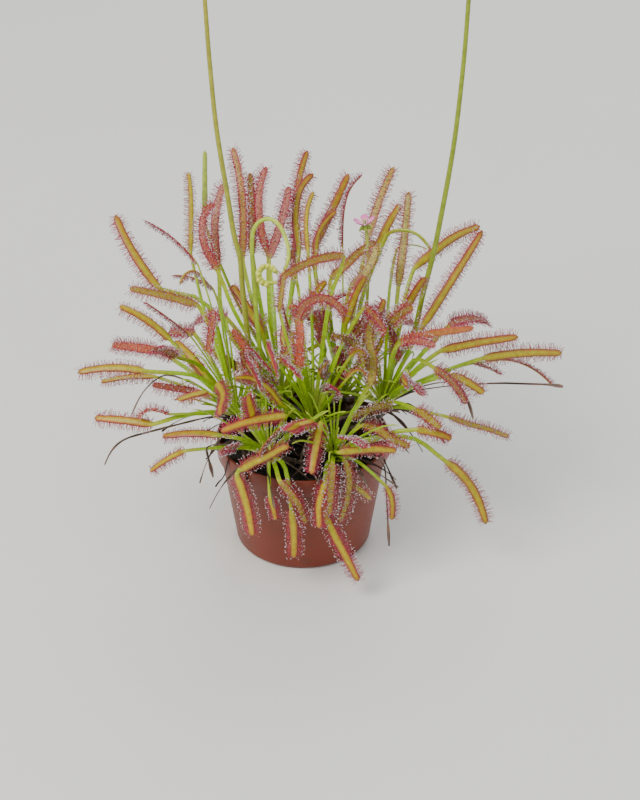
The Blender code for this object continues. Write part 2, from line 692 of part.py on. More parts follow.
def scape_bodies(name):
    """The stalk and its buds, which all stand on the outer side of its curled end."""
    line = scape_line(name)
    ways = np.gradient(line, axis=0)
    ways[0] = ways[1] = (0, 0, 1)
    rings = []
    for k in thinned(line):
        radius = SCAPE_RADIUS * (1.0 - SCAPE_TAPER * k / (len(line) - 1))
        rings.append(ring_at(line[k], unit(ways[k]), radius, SCAPE_SIDES))
    stalk = lofted(rings)
    count, part = BUDS[name]
    buds = []
    for k in range(count):
        where = (1 - part * k / max(1, count - 1)) * (len(line) - 1)
        low = min(int(where), len(line) - 2)
        place = line[low] + (where - low) * (line[low + 1] - line[low])
        way = unit(line[low + 1] - line[low])
        bend = line[max(0, low - 2)] + line[min(len(line) - 1, low + 3)] - 2 * line[low]
        outer = -bend + way * np.dot(bend, way)
        outer = unit(outer + 1e-6) if np.linalg.norm(outer) > 1e-3 else TOWARD_EYE
        across = np.cross(way, outer)
        lean = 0.75 if k % 2 else -0.75
        aim = unit(outer + across * lean + way * 0.5)
        size = BUD_LENGTH * (0.65 + 0.35 * k / max(1, count - 1))
        buds.append(bud_body(place, aim, size))
    return stalk, buds


def revolve(profile, sides):
    """Rings of points turned round the upright axis from an outline of (radius, height) pairs."""
    rings = []
    for radius, height in profile:
        rings.append([(radius * math.cos(a), radius * math.sin(a), height)
                      for a in (2 * math.pi * k / sides for k in range(sides))])
    return rings


def pot_object():
    """The pot, turned from its outline, with drain holes round a solid middle."""
    inner_base = BASE_RADIUS - WALL
    lip_foot = POT_HEIGHT - LIP_DEPTH
    outline = []
    for k in range(4):
        a = math.pi / 2 * k / 3
        outline.append((BASE_RADIUS - BASE_ROUNDING + BASE_ROUNDING * math.sin(a),
                        BASE_ROUNDING - BASE_ROUNDING * math.cos(a)))
    outline += [
        (WALL_TOP_RADIUS, lip_foot), (LIP_RADIUS - 0.6, lip_foot + 0.4), (LIP_RADIUS, lip_foot + 1.2),
        (LIP_RADIUS, POT_HEIGHT - 1.0), (LIP_RADIUS - 0.6, POT_HEIGHT), (LIP_RADIUS - WALL, POT_HEIGHT),
        (LIP_RADIUS - WALL, lip_foot + 1.5), (WALL_TOP_RADIUS - WALL, lip_foot - 0.6),
        (inner_base + 0.1, WALL + BASE_ROUNDING * 0.7), (inner_base - 2.2, WALL),
    ]
    rings = revolve(outline, POT_SIDES)
    vertices = [v for ring in rings for v in ring]
    faces = []
    for k in range(len(rings) - 1):
        for i in range(POT_SIDES):
            a = k * POT_SIDES + i
            b = k * POT_SIDES + (i + 1) % POT_SIDES
            faces.append((a, b, b + POT_SIDES, a + POT_SIDES))
    faces.append(list(range(POT_SIDES))[::-1])
    last = (len(rings) - 1) * POT_SIDES
    faces.append([last + i for i in range(POT_SIDES)])
    pot = mesh_object("pot", vertices, faces)
    drains = bpy.data.collections.new("drains")
    for k in range(DRAIN_HOLES):
        a = 2 * math.pi * (k + 0.5) / DRAIN_HOLES
        middle = np.array((DRAIN_CIRCLE * math.cos(a), DRAIN_CIRCLE * math.sin(a), 0.0))
        up = np.array((0, 0, 1.0))
        cutter = mesh_object(f"drain_{k}", *lofted([
            ring_at(middle - up * 2, up, DRAIN_RADIUS, DRAIN_SIDES),
            ring_at(middle + up * 4, up, DRAIN_RADIUS, DRAIN_SIDES)]))
        bpy.context.scene.collection.objects.unlink(cutter)
        drains.objects.link(cutter)
    cut_all(pot, drains)
    pot.data.shade_smooth()
    pot.data.set_sharp_from_angle(angle=math.radians(35))
    pot.data.materials.append(finish("plastic", (0.22, 0.052, 0.032), 0.45))


def cut_all(piece, cutters):
    """Cuts a collection of closed bodies out of a piece and removes them."""
    cut = piece.modifiers.new("cut", "BOOLEAN")
    cut.operation = "DIFFERENCE"
    cut.operand_type = "COLLECTION"
    cut.collection = cutters
    cut.solver = "EXACT"
    bpy.context.view_layer.update()
    done = bpy.data.meshes.new_from_object(piece.evaluated_get(bpy.context.evaluated_depsgraph_get()))
    piece.modifiers.clear()
    piece.data = done
    for cutter in list(cutters.objects):
        bpy.data.objects.remove(cutter, do_unlink=True)
    bpy.data.collections.remove(cutters)


def peat_height(x, y):
    """The lumpy top of the peat, a little higher in the middle."""
    lumps = math.sin(0.47 * x + 1.3) * math.sin(0.53 * y + 0.4) + 0.6 * math.sin(0.91 * x - 0.7 * y)
    mound = 1 - (x * x + y * y) / WALL_TOP_RADIUS**2
    return PEAT_LEVEL + PEAT_CROWN * mound + PEAT_LUMP * 0.6 * lumps


def soil_object():
    """The peat, which fills the pot to just under the rim, with a plain hole for every stem."""
    lip_foot = POT_HEIGHT - LIP_DEPTH
    inner_base = BASE_RADIUS - WALL
    wall = [
        (inner_base - 2.6, WALL + GAP), (inner_base - 0.2 - GAP, WALL + BASE_ROUNDING * 0.7 + GAP),
        (WALL_TOP_RADIUS - WALL - GAP, lip_foot - 0.6),
    ]
    rings = revolve(wall, PEAT_SIDES)
    top_radius = WALL_TOP_RADIUS - WALL - GAP
    for k in range(PEAT_RINGS):
        radius = top_radius * (1 - k / PEAT_RINGS)
        ring = []
        for i in range(PEAT_SIDES):
            a = 2 * math.pi * i / PEAT_SIDES
            x, y = radius * math.cos(a), radius * math.sin(a)
            ring.append((x, y, peat_height(x, y)))
        rings.append(ring)
    vertices, faces = lofted(rings, (0.0, 0.0, peat_height(0.0, 0.0)))
    soil = mesh_object("soil", vertices, faces)
    holes = bpy.data.collections.new("holes")
    stands = [(foot, STEM_FOOT_RADIUS, STEM_SIDES) for foot, _ in CROWNS.values()]
    stands += [(scape_line(name)[0][:2], SCAPE_RADIUS, SCAPE_SIDES) for name in SCAPES]
    for k, (foot, radius, sides) in enumerate(stands):
        bottom = np.array((foot[0], foot[1], PEAT_LEVEL - STEM_BURIED - GAP))
        up = np.array((0, 0, 1.0))
        wide = radius + GAP / math.cos(math.pi / sides)
        cutter = mesh_object(f"hole_{k}", *lofted([
            ring_at(bottom, up, wide, sides), ring_at(bottom + up * (STEM_BURIED + 8), up, wide, sides)]))
        bpy.context.scene.collection.objects.unlink(cutter)
        holes.objects.link(cutter)
    cut_all(soil, holes)
    soil.data.materials.clear()
    soil.data.materials.append(finish("peat", (0.018, 0.013, 0.01), 0.95))


def flower_bodies():
    """The calyx with its ovary, which belong to the stalk, and the petals on a ring round the ovary."""
    line = scape_line("scape_flower")
    top = line[-1]
    way = unit(unit(line[-1] - line[-2]) + 0.5 * TOWARD_EYE)
    across = unit(np.cross(way, (1.0, 0.0, 0.0)))
    other = np.cross(way, across)
    cups = [ring_at(top + way * height, way, radius, CALYX_SIDES) for height, radius in CALYX_OUTLINE]
    calyx = lofted(cups, top + way * OVARY_TIP)
    sepals = []
    for k in range(PETALS):
        a = 2 * math.pi * (k + 0.5) / PETALS
        out = across * math.cos(a) + other * math.sin(a)
        side = np.cross(way, out)
        base = top + way * 1.2 + out * 1.1
        thick = way * SEPAL_THICKNESS
        rings = []
        for along, half in SEPAL_OUTLINE:
            place = base + (out * 0.75 - way * 0.35) * along
            rings.append((place + side * half, place - side * half, place - side * half - thick,
                          place + side * half - thick))
        sepals.append(lofted(rings, base + (out * 0.75 - way * 0.5) * SEPAL_LENGTH))
    floor = top + way * (CALYX_TOP + GAP)
    sides = PETAL_RING_SIDES
    turns = [2 * math.pi * k / sides for k in range(sides)]
    inner = [floor + PETAL_RING_INNER * (across * math.cos(a) + other * math.sin(a)) for a in turns]
    outer = [floor + PETAL_RING_OUTER * (across * math.cos(a) + other * math.sin(a)) for a in turns]
    raised = way * PETAL_RING_HEIGHT
    vertices = inner + outer + [v + raised for v in outer] + [v + raised for v in inner]
    faces = []
    for ring in range(4):
        for i in range(sides):
            a = ring * sides + i
            b = ring * sides + (i + 1) % sides
            c = (ring + 1) % 4 * sides + (i + 1) % sides
            d = (ring + 1) % 4 * sides + i
            faces.append((a, b, c, d))
    petals = []
    for k in range(PETALS):
        a = 2 * math.pi * k / PETALS
        out = across * math.cos(a) + other * math.sin(a)
        side = np.cross(way, out)
        aim = unit(out + way * PETAL_RISE)
        base = floor + way * 0.1 + out * PETAL_CLAW_RADIUS
        rings = []
        for along, share in PETAL_OUTLINE:
            place = base + aim * PETAL_LENGTH * along
            half = side * PETAL_WIDTH / 2 * share
            thick = way * PETAL_THICKNESS
            rings.append((place + half, place - half, place - half + thick, place + half + thick))
        petals.append(lofted([ring[::-1] for ring in rings]))
    return (calyx, sepals), ((vertices, faces), petals)


def outward(body):
    """The same closed body with its faces out, told by the sign of its volume."""
    vertices, faces = body
    points = np.array(vertices)
    volume = 0.0
    for face in faces:
        for i in range(1, len(face) - 1):
            volume += np.dot(points[face[0]], np.cross(points[face[i]], points[face[i + 1]]))
    if volume < 0:
        faces = [tuple(face)[::-1] for face in faces]
    return vertices, faces


leaf_green = finish("leaf", (0.28, 0.30, 0.03), 0.4)
stalk_green = finish("stalk", (0.33, 0.24, 0.06), 0.4)
petal_pink = finish("petal", (0.75, 0.25, 0.45), 0.5)

all_leaves = leaf_lines()
standing = []
for rosette, (foot_place, head_place) in CROWNS.items():
    stem = smooth_line([(*foot_place, PEAT_LEVEL), (*foot_place, PEAT_LEVEL + 4), head_place], 8)
    standing.append((rosette, stem, STEM_HEAD_RADIUS + 0.5))
for stalk_name in SCAPES:
    route = scape_line(stalk_name)
    run_count = max(12, int(np.linalg.norm(np.diff(route, axis=0), axis=1).sum() / 4))
    standing.append((stalk_name, smooth_line(route, run_count), SCAPE_ROOM))
make_room(all_leaves, standing)

pot_object()
soil_object()

for rosette, (foot_place, head_place) in CROWNS.items():
    stem_vertices, stem_faces = stem_body(np.array((*foot_place, PEAT_LEVEL), dtype=float),
                                          np.array(head_place, dtype=float))
    rosette_object = mesh_object(rosette, *outward((stem_vertices, stem_faces)))
    own_leaves = [outward(leaf_solid(leaf)) for leaf in all_leaves if leaf["owner"] == rosette]
    fuse(rosette, own_leaves, rosette_object)
    rosette_object.data.materials.clear()
    rosette_object.data.materials.append(leaf_green)

(calyx_body, sepal_bodies), (petal_ring, petal_bodies) = flower_bodies()
for stalk_name in SCAPES:
    stalk_body, bud_bodies = scape_bodies(stalk_name)
    if stalk_name == "scape_flower":
        bud_bodies = [calyx_body] + sepal_bodies
    scape_object = mesh_object(stalk_name, *outward(stalk_body))
    fuse(stalk_name, [outward(body) for body in bud_bodies], scape_object)
    scape_object.data.materials.clear()
    scape_object.data.materials.append(stalk_green)

petals_object = mesh_object("flower_petals", *outward(petal_ring))
fuse("flower_petals", [outward(body) for body in petal_bodies], petals_object)
petals_object.data.materials.clear()
petals_object.data.materials.append(petal_pink)
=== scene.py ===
"""The looks of a clump of Cape sundew in its nursery pot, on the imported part.

Lengths are in millimetres until a mesh is made.
"""

import json
import math

import bpy
import numpy as np
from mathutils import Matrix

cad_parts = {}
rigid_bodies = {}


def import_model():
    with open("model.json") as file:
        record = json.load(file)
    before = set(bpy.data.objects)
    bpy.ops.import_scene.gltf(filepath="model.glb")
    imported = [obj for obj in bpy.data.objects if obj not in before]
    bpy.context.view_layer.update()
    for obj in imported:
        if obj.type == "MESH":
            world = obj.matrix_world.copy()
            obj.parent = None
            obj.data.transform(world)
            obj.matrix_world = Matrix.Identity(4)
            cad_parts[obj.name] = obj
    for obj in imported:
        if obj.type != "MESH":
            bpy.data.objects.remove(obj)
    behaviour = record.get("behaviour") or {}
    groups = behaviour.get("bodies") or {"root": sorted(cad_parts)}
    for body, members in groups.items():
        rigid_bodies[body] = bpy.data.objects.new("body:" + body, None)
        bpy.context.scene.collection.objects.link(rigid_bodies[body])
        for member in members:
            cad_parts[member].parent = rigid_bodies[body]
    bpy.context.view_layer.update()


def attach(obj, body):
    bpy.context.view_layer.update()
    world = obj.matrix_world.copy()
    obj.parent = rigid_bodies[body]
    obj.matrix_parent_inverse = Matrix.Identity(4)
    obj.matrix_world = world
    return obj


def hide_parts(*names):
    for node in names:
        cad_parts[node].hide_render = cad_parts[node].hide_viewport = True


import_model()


# Table, light and camera
# The pot stands on a plain pale table top under soft boxes. It is looked at from the front: the
# eye is 1.39 m from the pot's foot and 35 degrees above the table.
MM = 0.001
TABLE_SIDE = 9000.0
LAMINATE = "#E9E8E4"
EYE_DISTANCE = 1390.0
EYE_ABOVE = 35.1
EYE_DOWN = 32.22
EYE_TURN = 0.445
LENS = 117.0
# Each soft box: its place, its width, its power and the tint of its light
SOFT_BOXES = {
    "key_box": ((-900, -800, 1500), 1000, 34, "#FFFBF2"),
    "fill_box": ((1200, -700, 900), 1200, 6, "#F2F7FF"),
    "back_box": ((300, 1400, 1300), 1000, 12, "#FFFFFF"),
}
LIT_POINT = np.array((0.0, 0.0, 100.0))
ROOM_TINT = "#EDF1F4"
ROOM_LIGHT = 0.62


def colour(code):
    """A linear colour from its sRGB hex code."""
    shares = [int(code[i:i + 2], 16) / 255 for i in (1, 3, 5)]
    return tuple(s / 12.92 if s <= 0.04045 else ((s + 0.055) / 1.055)**2.4 for s in shares)


def material(name, base, roughness, ior=1.5):
    """A new material with its shader's own values set, and its node tree."""
    new = bpy.data.materials.new(name)
    new.use_nodes = True
    shader = new.node_tree.nodes["Principled BSDF"]
    shader.inputs["Base Color"].default_value = (*colour(base), 1.0)
    shader.inputs["Roughness"].default_value = roughness
    shader.inputs["IOR"].default_value = ior
    return new, new.node_tree, shader


def add_node(tree, kind, settings, links):
    """A node with its settings, of an input or of its own, and with what feeds its inputs."""
    node = tree.nodes.new(kind)
    for key, value in settings.items():
        if isinstance(key, int) or key in node.inputs:
            node.inputs[key].default_value = value
        else:
            setattr(node, key, value)
    for key, source in links.items():
        tree.links.new(source, node.inputs[key])
    return node


def mottle(tree, spot, detail, low, high):
    """A pattern that wanders between two values in spots of a width in mm, and its relief."""
    place = add_node(tree, "ShaderNodeTexCoord", {}, {})
    noise = add_node(tree, "ShaderNodeTexNoise", {"Scale": 1 / (spot * MM), "Detail": detail},
                     {"Vector": place.outputs["Object"]})
    spread = add_node(tree, "ShaderNodeMapRange",
                      {"From Min": 0.3, "From Max": 0.7, "To Min": low, "To Max": high},
                      {"Value": noise.outputs["Fac"]})
    return spread.outputs["Result"], noise.outputs["Fac"]


def mesh_piece(name, bodies, surface, smooth=True):
    """One object from bodies of points in millimetres, faces and a colour for each point."""
    points, faces, tints, start = [], [], [], 0
    for body_points, body_faces, tint in bodies:
        points.append(body_points)
        tints.append(np.broadcast_to(tint, (len(body_points), 3)))
        for group in body_faces:
            faces.extend((np.asarray(group) + start).tolist())
        start += len(body_points)
    mesh = bpy.data.meshes.new(name)
    mesh.from_pydata(np.concatenate(points) * MM, [], faces)
    tint = mesh.color_attributes.new("tint", "FLOAT_COLOR", "POINT")
    rgba = np.ones((start, 4), np.float32)
    rgba[:, :3] = np.concatenate(tints)
    tint.data.foreach_set("color", rgba.ravel())
    if smooth:
        mesh.shade_smooth()
    mesh.materials.append(surface)
    piece = bpy.data.objects.new(name, mesh)
    bpy.context.scene.collection.objects.link(piece)
    return piece


# Laminate: matt, with a faint cloudiness that only keeps it from looking like paper
laminate, tree, shader = material("pale_laminate", LAMINATE, 0.6)
shade, _ = mottle(tree, spot=166.7, detail=3.0, low=0.97, high=1.0)
cloudy = add_node(tree, "ShaderNodeVectorMath", {"operation": "SCALE", 0: colour(LAMINATE)},
                  {"Scale": shade})
tree.links.new(cloudy.outputs["Vector"], shader.inputs["Base Color"])

half = TABLE_SIDE / 2
table = mesh_piece("table_top", [(
    np.array([(-half, -half, 0), (half, -half, 0), (half, half, 0), (-half, half, 0)]),
    [[(0, 1, 2, 3)]], (1, 1, 1))], laminate, False)

for name, (place, width, power, tint) in SOFT_BOXES.items():
    lamp = bpy.data.lights.new(name, "AREA")
    lamp.size = width * MM
    lamp.energy = power
    lamp.color = colour(tint)
    holder = bpy.data.objects.new(name, lamp)
    holder.location = np.array(place) * MM
    way = LIT_POINT - place
    holder.rotation_euler = (math.atan2(math.hypot(way[0], way[1]), -way[2]), 0,
                             math.atan2(way[1], way[0]) - math.pi / 2)
    bpy.context.scene.collection.objects.link(holder)
room = bpy.data.worlds.new("pale_room")
room.use_nodes = True
room.node_tree.nodes["Background"].inputs["Color"].default_value = (*colour(ROOM_TINT), 1.0)
room.node_tree.nodes["Background"].inputs["Strength"].default_value = ROOM_LIGHT
bpy.context.scene.world = room

camera_data = bpy.data.cameras.new("eye")
camera_data.lens = LENS
camera = bpy.data.objects.new("eye", camera_data)
camera.location = (0, -EYE_DISTANCE * MM * math.cos(math.radians(EYE_ABOVE)),
                   EYE_DISTANCE * MM * math.sin(math.radians(EYE_ABOVE)))
camera.rotation_euler = (math.radians(90 - EYE_DOWN), 0, -math.radians(EYE_TURN))
bpy.context.scene.collection.objects.link(camera)
bpy.context.scene.camera = camera


# Pot
# A tapered 9 cm nursery pot, moulded in one shot from brown polypropylene: a thin wall, a
# stiffening band under the lip, a rounded foot and drain holes in the base.
POT_HEIGHT = 62.0
LIP_RADIUS = 45.0
LIP_DEPTH = 10.0
WALL_TOP_RADIUS = 43.2
BASE_RADIUS = 35.5
BASE_ROUNDING = 3.0
WALL = 1.5
POT_SIDES = 144
DRAIN_HOLES = 6
DRAIN_RADIUS = 3.0
DRAIN_CIRCLE = 24.0
DRAIN_SIDES = 24
# From where to where the drill goes, and the bend in degrees that still looks like an edge
DRILL_REACH = (-2.0, 4.0)
SHARP_BEND = 40.0


def skin(rings, around):
    """Faces of a closed body through rings of points: its sides and its two flat ends."""
    first = np.arange(around)
    after = (first + 1) % around
    side = np.column_stack((first, after, after + around, first + around))
    return ([side + k * around for k in range(rings - 1)]
            + [first[::-1][None], (first + (rings - 1) * around)[None]])


def turned(outline, sides):
    """Points of a body turned round the upright axis from (radius, height) pairs."""
    angles = 2 * np.pi * np.arange(sides) / sides
    outline = np.array(outline)
    rings = np.stack((outline[:, :1] * np.cos(angles), outline[:, :1] * np.sin(angles),
                      np.repeat(outline[:, 1:], sides, axis=1)), axis=2)
    return rings.reshape(-1, 3)


def rounded(corner_x, corner_z, radius, start, end, steps):
    """Points of an arc round a centre, from one angle to another in degrees."""
    angles = np.radians(np.linspace(start, end, steps))
    return list(zip(corner_x + radius * np.cos(angles), corner_z + radius * np.sin(angles)))


# The outline goes from the base up the outside, over the lip and down the inside
lip_foot = POT_HEIGHT - LIP_DEPTH
inner_base = BASE_RADIUS - WALL
pot_outline = rounded(BASE_RADIUS - BASE_ROUNDING, BASE_ROUNDING, BASE_ROUNDING, -90, -5, 8)
pot_outline += [(BASE_RADIUS + (WALL_TOP_RADIUS - BASE_RADIUS) * t,
                 BASE_ROUNDING + (lip_foot - BASE_ROUNDING) * t) for t in np.linspace(0.1, 0.98, 8)]
pot_outline += [(WALL_TOP_RADIUS, lip_foot), (LIP_RADIUS - 0.5, lip_foot + 0.2),
                (LIP_RADIUS - 0.1, lip_foot + 0.7)]
pot_outline += rounded(LIP_RADIUS - WALL / 2, POT_HEIGHT - WALL / 2, WALL / 2, 0, 180, 9)
pot_outline += [(LIP_RADIUS - WALL, lip_foot + 1.5), (WALL_TOP_RADIUS - WALL, lip_foot - 0.6),
                (inner_base + 0.1, WALL + BASE_ROUNDING * 0.7), (inner_base - 2.2, WALL)]

# Polypropylene, injection moulded: a dull waxy sheen, slightly cloudy brown, with dried splashes
# of peat water about a centimetre wide. The satin grain of the mould is drawn 1.1 mm wide, coarser
# than it is, so that it shows. A colour mix has its share at input 0, its two colours at 6 and 7,
# and the outcome at output 2.
plastic, tree, shader = material("moulded_polypropylene", "#7A3928", 0.4, 1.49)
cloud, _ = mottle(tree, spot=45.5, detail=4.0, low=0.0, high=1.0)
brown = add_node(tree, "ShaderNodeMix", {
    "data_type": "RGBA", 6: (*colour("#662310"), 1), 7: (*colour("#7F3018"), 1)}, {0: cloud})
stains, _ = mottle(tree, spot=11.1, detail=8.0, low=-0.9, high=0.35)
splashed = add_node(tree, "ShaderNodeMix", {"data_type": "RGBA", 7: (*colour("#4A2E23"), 1)},
                    {0: stains, 6: brown.outputs[2]})
tree.links.new(splashed.outputs[2], shader.inputs["Base Color"])
satin, relief = mottle(tree, spot=1.11, detail=2.0, low=0.36, high=0.5)
tree.links.new(satin, shader.inputs["Roughness"])
bump = add_node(tree, "ShaderNodeBump", {"Strength": 0.12, "Distance": 0.2 * MM},
                {"Height": relief})
tree.links.new(bump.outputs["Normal"], shader.inputs["Normal"])

pot = mesh_piece("pot_shell", [
    (turned(pot_outline, POT_SIDES), skin(len(pot_outline), POT_SIDES), (1, 1, 1))], plastic)
drains = bpy.data.collections.new("drains")
for k in range(DRAIN_HOLES):
    a = 2 * math.pi * (k + 0.5) / DRAIN_HOLES
    plug = turned([(DRAIN_RADIUS, height) for height in DRILL_REACH], DRAIN_SIDES)
    plug += (DRAIN_CIRCLE * math.cos(a), DRAIN_CIRCLE * math.sin(a), 0)
    cutter = mesh_piece(f"drain_{k}", [(plug, skin(2, DRAIN_SIDES), (1, 1, 1))], plastic)
    bpy.context.scene.collection.objects.unlink(cutter)
    drains.objects.link(cutter)
cut = pot.modifiers.new("drains", "BOOLEAN")
cut.operation = "DIFFERENCE"
cut.operand_type = "COLLECTION"
cut.collection = drains
bpy.context.view_layer.update()
drilled = pot.evaluated_get(bpy.context.evaluated_depsgraph_get())
drilled = bpy.data.meshes.new_from_object(drilled)
pot.modifiers.clear()
pot.data = drilled
for cutter in list(drains.objects):
    bpy.data.objects.remove(cutter, do_unlink=True)
pot.data.shade_smooth()
pot.data.set_sharp_from_angle(angle=math.radians(SHARP_BEND))
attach(pot, "root")
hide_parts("pot")


# Peat
# A lumpy fill of dark sphagnum peat to just under the lip, wet and crumbly, with crumbs and a few
# bits of grit that lie loose on top. It is poured in and pressed round the stems.
PEAT_LEVEL = 55.0
PEAT_CROWN = 2.0
PEAT_LUMP = 0.7
PEAT_GAP = 0.3
PEAT_ROUGH = 0.16
PEAT_SIDES = 120
PEAT_RINGS = 42
CRUMBS = 700
GRITS = 25
CRUMB_LEAST = 0.35
CRUMB_SPREAD = 0.9
PEAT_SEED = 5
PEAT_BLACK = colour("#1C1510")
CRUMB_BROWN = colour("#241B14")
GRIT_GREY = colour("#8F8574")


def peat_height(x, y):
    """The lumpy top of the peat, a little higher in the middle."""
    lumps = np.sin(0.47 * x + 1.3) * np.sin(0.53 * y + 0.4) + 0.6 * np.sin(0.91 * x - 0.7 * y)
    mound = 1 - (x * x + y * y) / WALL_TOP_RADIUS**2
    crumble = (np.sin(2.3 * x + 1.7 * y) * np.sin(2.9 * y - 1.1 * x)
               + 0.7 * np.sin(4.7 * x) * np.sin(5.3 * y + 0.6 * x))
    return PEAT_LEVEL + PEAT_CROWN * mound + PEAT_LUMP * (0.6 * lumps + 0.35 * crumble)


def scattered(kernel, kernel_faces, places, sizes, rng):
    """Copies of a small kernel, each turned and stretched at random, as points and faces."""
    count = len(places)
    turns = np.linalg.qr(rng.normal(size=(count, 3, 3)))[0]
    turns *= np.sign(np.linalg.det(turns))[:, None, None]
    stretch = sizes[:, None] * rng.uniform(0.6, 1.3, (count, 3))
    rough = kernel[None] * rng.uniform(0.75, 1.25, (count, len(kernel), 1)) * stretch[:, None]
    points = np.einsum("nij,nkj->nki", turns, rough) + places[:, None]
    faces = kernel_faces[None] + (np.arange(count) * len(kernel))[:, None, None]
    return points.reshape(-1, 3), faces.reshape(-1, kernel_faces.shape[1])


def tinted(tree, shader, spot, detail, low, high):
    """Gives a surface the colours of its points, darker and paler in spots."""
    tint = add_node(tree, "ShaderNodeVertexColor", {"layer_name": "tint"}, {})
    shade, relief = mottle(tree, spot, detail, low, high)
    shaded = add_node(tree, "ShaderNodeVectorMath", {"operation": "SCALE"},
                      {0: tint.outputs["Color"], "Scale": shade})
    tree.links.new(shaded.outputs["Vector"], shader.inputs["Base Color"])
    return shaded.outputs["Vector"], relief


# A crumb before it is stretched: twelve points with twenty faces
GOLDEN = (1 + 5**0.5) / 2
LUMP = np.array([
    (-1, GOLDEN, 0), (1, GOLDEN, 0), (-1, -GOLDEN, 0), (1, -GOLDEN, 0), (0, -1, GOLDEN),
    (0, 1, GOLDEN), (0, -1, -GOLDEN), (0, 1, -GOLDEN), (GOLDEN, 0, -1), (GOLDEN, 0, 1),
    (-GOLDEN, 0, -1), (-GOLDEN, 0, 1)]) / math.hypot(1, GOLDEN)
LUMP_FACES = np.array([
    (0, 11, 5), (0, 5, 1), (0, 1, 7), (0, 7, 10), (0, 10, 11), (1, 5, 9), (5, 11, 4), (11, 10, 2),
    (10, 7, 6), (7, 1, 8), (3, 9, 4), (3, 4, 2), (3, 2, 6), (3, 6, 8), (3, 8, 9), (4, 9, 5),
    (2, 4, 11), (6, 2, 10), (8, 6, 7), (9, 8, 1)])

# Sphagnum peat: almost black when wet, fibrous and matt, in clods 4 mm wide, with wet glints
peat_wet, tree, shader = material("sphagnum_peat", "#1E1712", 0.85)
wetness, relief = mottle(tree, spot=2.38, detail=8.0, low=0.55, high=1.0)
tree.links.new(wetness, shader.inputs["Roughness"])
tinted(tree, shader, spot=3.85, detail=6.0, low=0.45, high=1.5)
bump = add_node(tree, "ShaderNodeBump", {"Strength": 0.9, "Distance": 1.2 * MM},
                {"Height": relief})
tree.links.new(bump.outputs["Normal"], shader.inputs["Normal"])

rng = np.random.default_rng(PEAT_SEED)
peat_edge = WALL_TOP_RADIUS - WALL - PEAT_GAP
peat_outline = [(inner_base - 2.6, WALL + PEAT_GAP),
                (inner_base - 0.2 - PEAT_GAP, WALL + BASE_ROUNDING), (peat_edge, lip_foot - 0.6)]
walls = len(peat_outline) * PEAT_SIDES
peat_outline += [(peat_edge * (1 - k / PEAT_RINGS), 0) for k in range(PEAT_RINGS)]
peat_points = turned(peat_outline, PEAT_SIDES)
peat_points[walls:, 2] = peat_height(peat_points[walls:, 0], peat_points[walls:, 1])
peat_points[walls:, 2] += rng.normal(0, PEAT_ROUGH, len(peat_points) - walls)
loose = CRUMBS + GRITS
angle = rng.uniform(0, 2 * np.pi, loose)
radius = (peat_edge - 1.5) * np.sqrt(rng.uniform(0, 1, loose))
crumb_places = np.column_stack((radius * np.cos(angle), radius * np.sin(angle), np.zeros(loose)))
crumb_places[:, 2] = peat_height(crumb_places[:, 0], crumb_places[:, 1]) + 0.1
crumb_sizes = CRUMB_LEAST + CRUMB_SPREAD * rng.uniform(0, 1, loose)**3
crumb_points, crumb_faces = scattered(LUMP, LUMP_FACES, crumb_places, crumb_sizes, rng)
crumb_tints = np.repeat([CRUMB_BROWN] * CRUMBS + [GRIT_GREY] * GRITS, len(LUMP), axis=0)
peat = mesh_piece("peat_fill", [
    (peat_points, skin(len(peat_outline), PEAT_SIDES), PEAT_BLACK),
    (crumb_points, [crumb_faces], crumb_tints)], peat_wet)
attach(peat, "root")
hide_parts("soil")


# Where every leaf and stalk grows
# Seven crowns share the pot. Each leaf is set down by where its neck and tip are seen from the
# eye, as are the flower stalks; then leaves that would touch are bent apart a little.
STEM_HEAD_RADIUS = 4.4
STEM_BURIED = 12.0
# How deep a petiole starts in the stem, and how far below the stem's head: upright or flat leaves
ROOT_SUNK = 1.5
ATTACH_HIGH = 1.0
ATTACH_LOW = 6.0

# Leaves: half width of petiole and blade, curl, the power by which a blade turns faster at its tip,
# and whether tentacles stand on it
LEAF_KINDS = {
    "grown": {"petiole": 1.15, "blade": 2.3, "curl": 1.0, "tentacles": True},
    "hooked": {"petiole": 1.1, "blade": 2.1, "curl": 2.4, "tentacles": True},
    "slim": {"petiole": 0.9, "blade": 1.6, "curl": 1.0, "tentacles": True},
    "young": {"petiole": 0.9, "blade": 1.5, "curl": 1.6, "tentacles": True},
    "strap": {"petiole": 0.9, "blade": 1.75, "curl": 1.6, "tentacles": False},
    "bare": {"petiole": 0.9, "blade": 0.9, "curl": 1.0, "tentacles": False},
    "dead": {"petiole": 0.8, "blade": 1.2, "curl": 1.0, "tentacles": False},
}
BLADE_ARCH = 0.05
PETIOLE_POINTS = 18
BLADE_POINTS = 12
OVER_RIM = 8.0

# Room that each leaf keeps round its middle line
PETIOLE_ROOM = 2.2
BLADE_ROOM = 4.6
SCAPE_ROOM = 2.3
SLIM_ROOMS = {"dead": 2.4, "young": 4.0, "strap": 4.0, "slim": 4.2}
# Share of that room between leaves of one crown, which may lie close
CROWN_ROOM = 0.55
# A leaf is held at its foot, up to the first share of its length, and bends freely from the second
HELD_TO = 0.06
FREE_FROM = 0.36
ROOM_ROUNDS = 14
ROOM_STEPS = 8
ROOM_SEARCH = 8.0
# How much of each push is taken, where a point is pushed by many, and in a whole step
PUSH_SHARE = 0.6
PUSH_STEP = 1.15


def seen(right, up, near):
    """A place as the clump is looked at from the front and 37 degrees above the table.

    It is measured from the middle of the rim: to the right, up as seen, and nearer to the eye.
    """
    return np.array((right, 0.6 * up - 0.8 * near, POT_HEIGHT + 0.8 * up + 0.6 * near))


TOWARD_EYE = np.array((0.0, -0.8, 0.6))

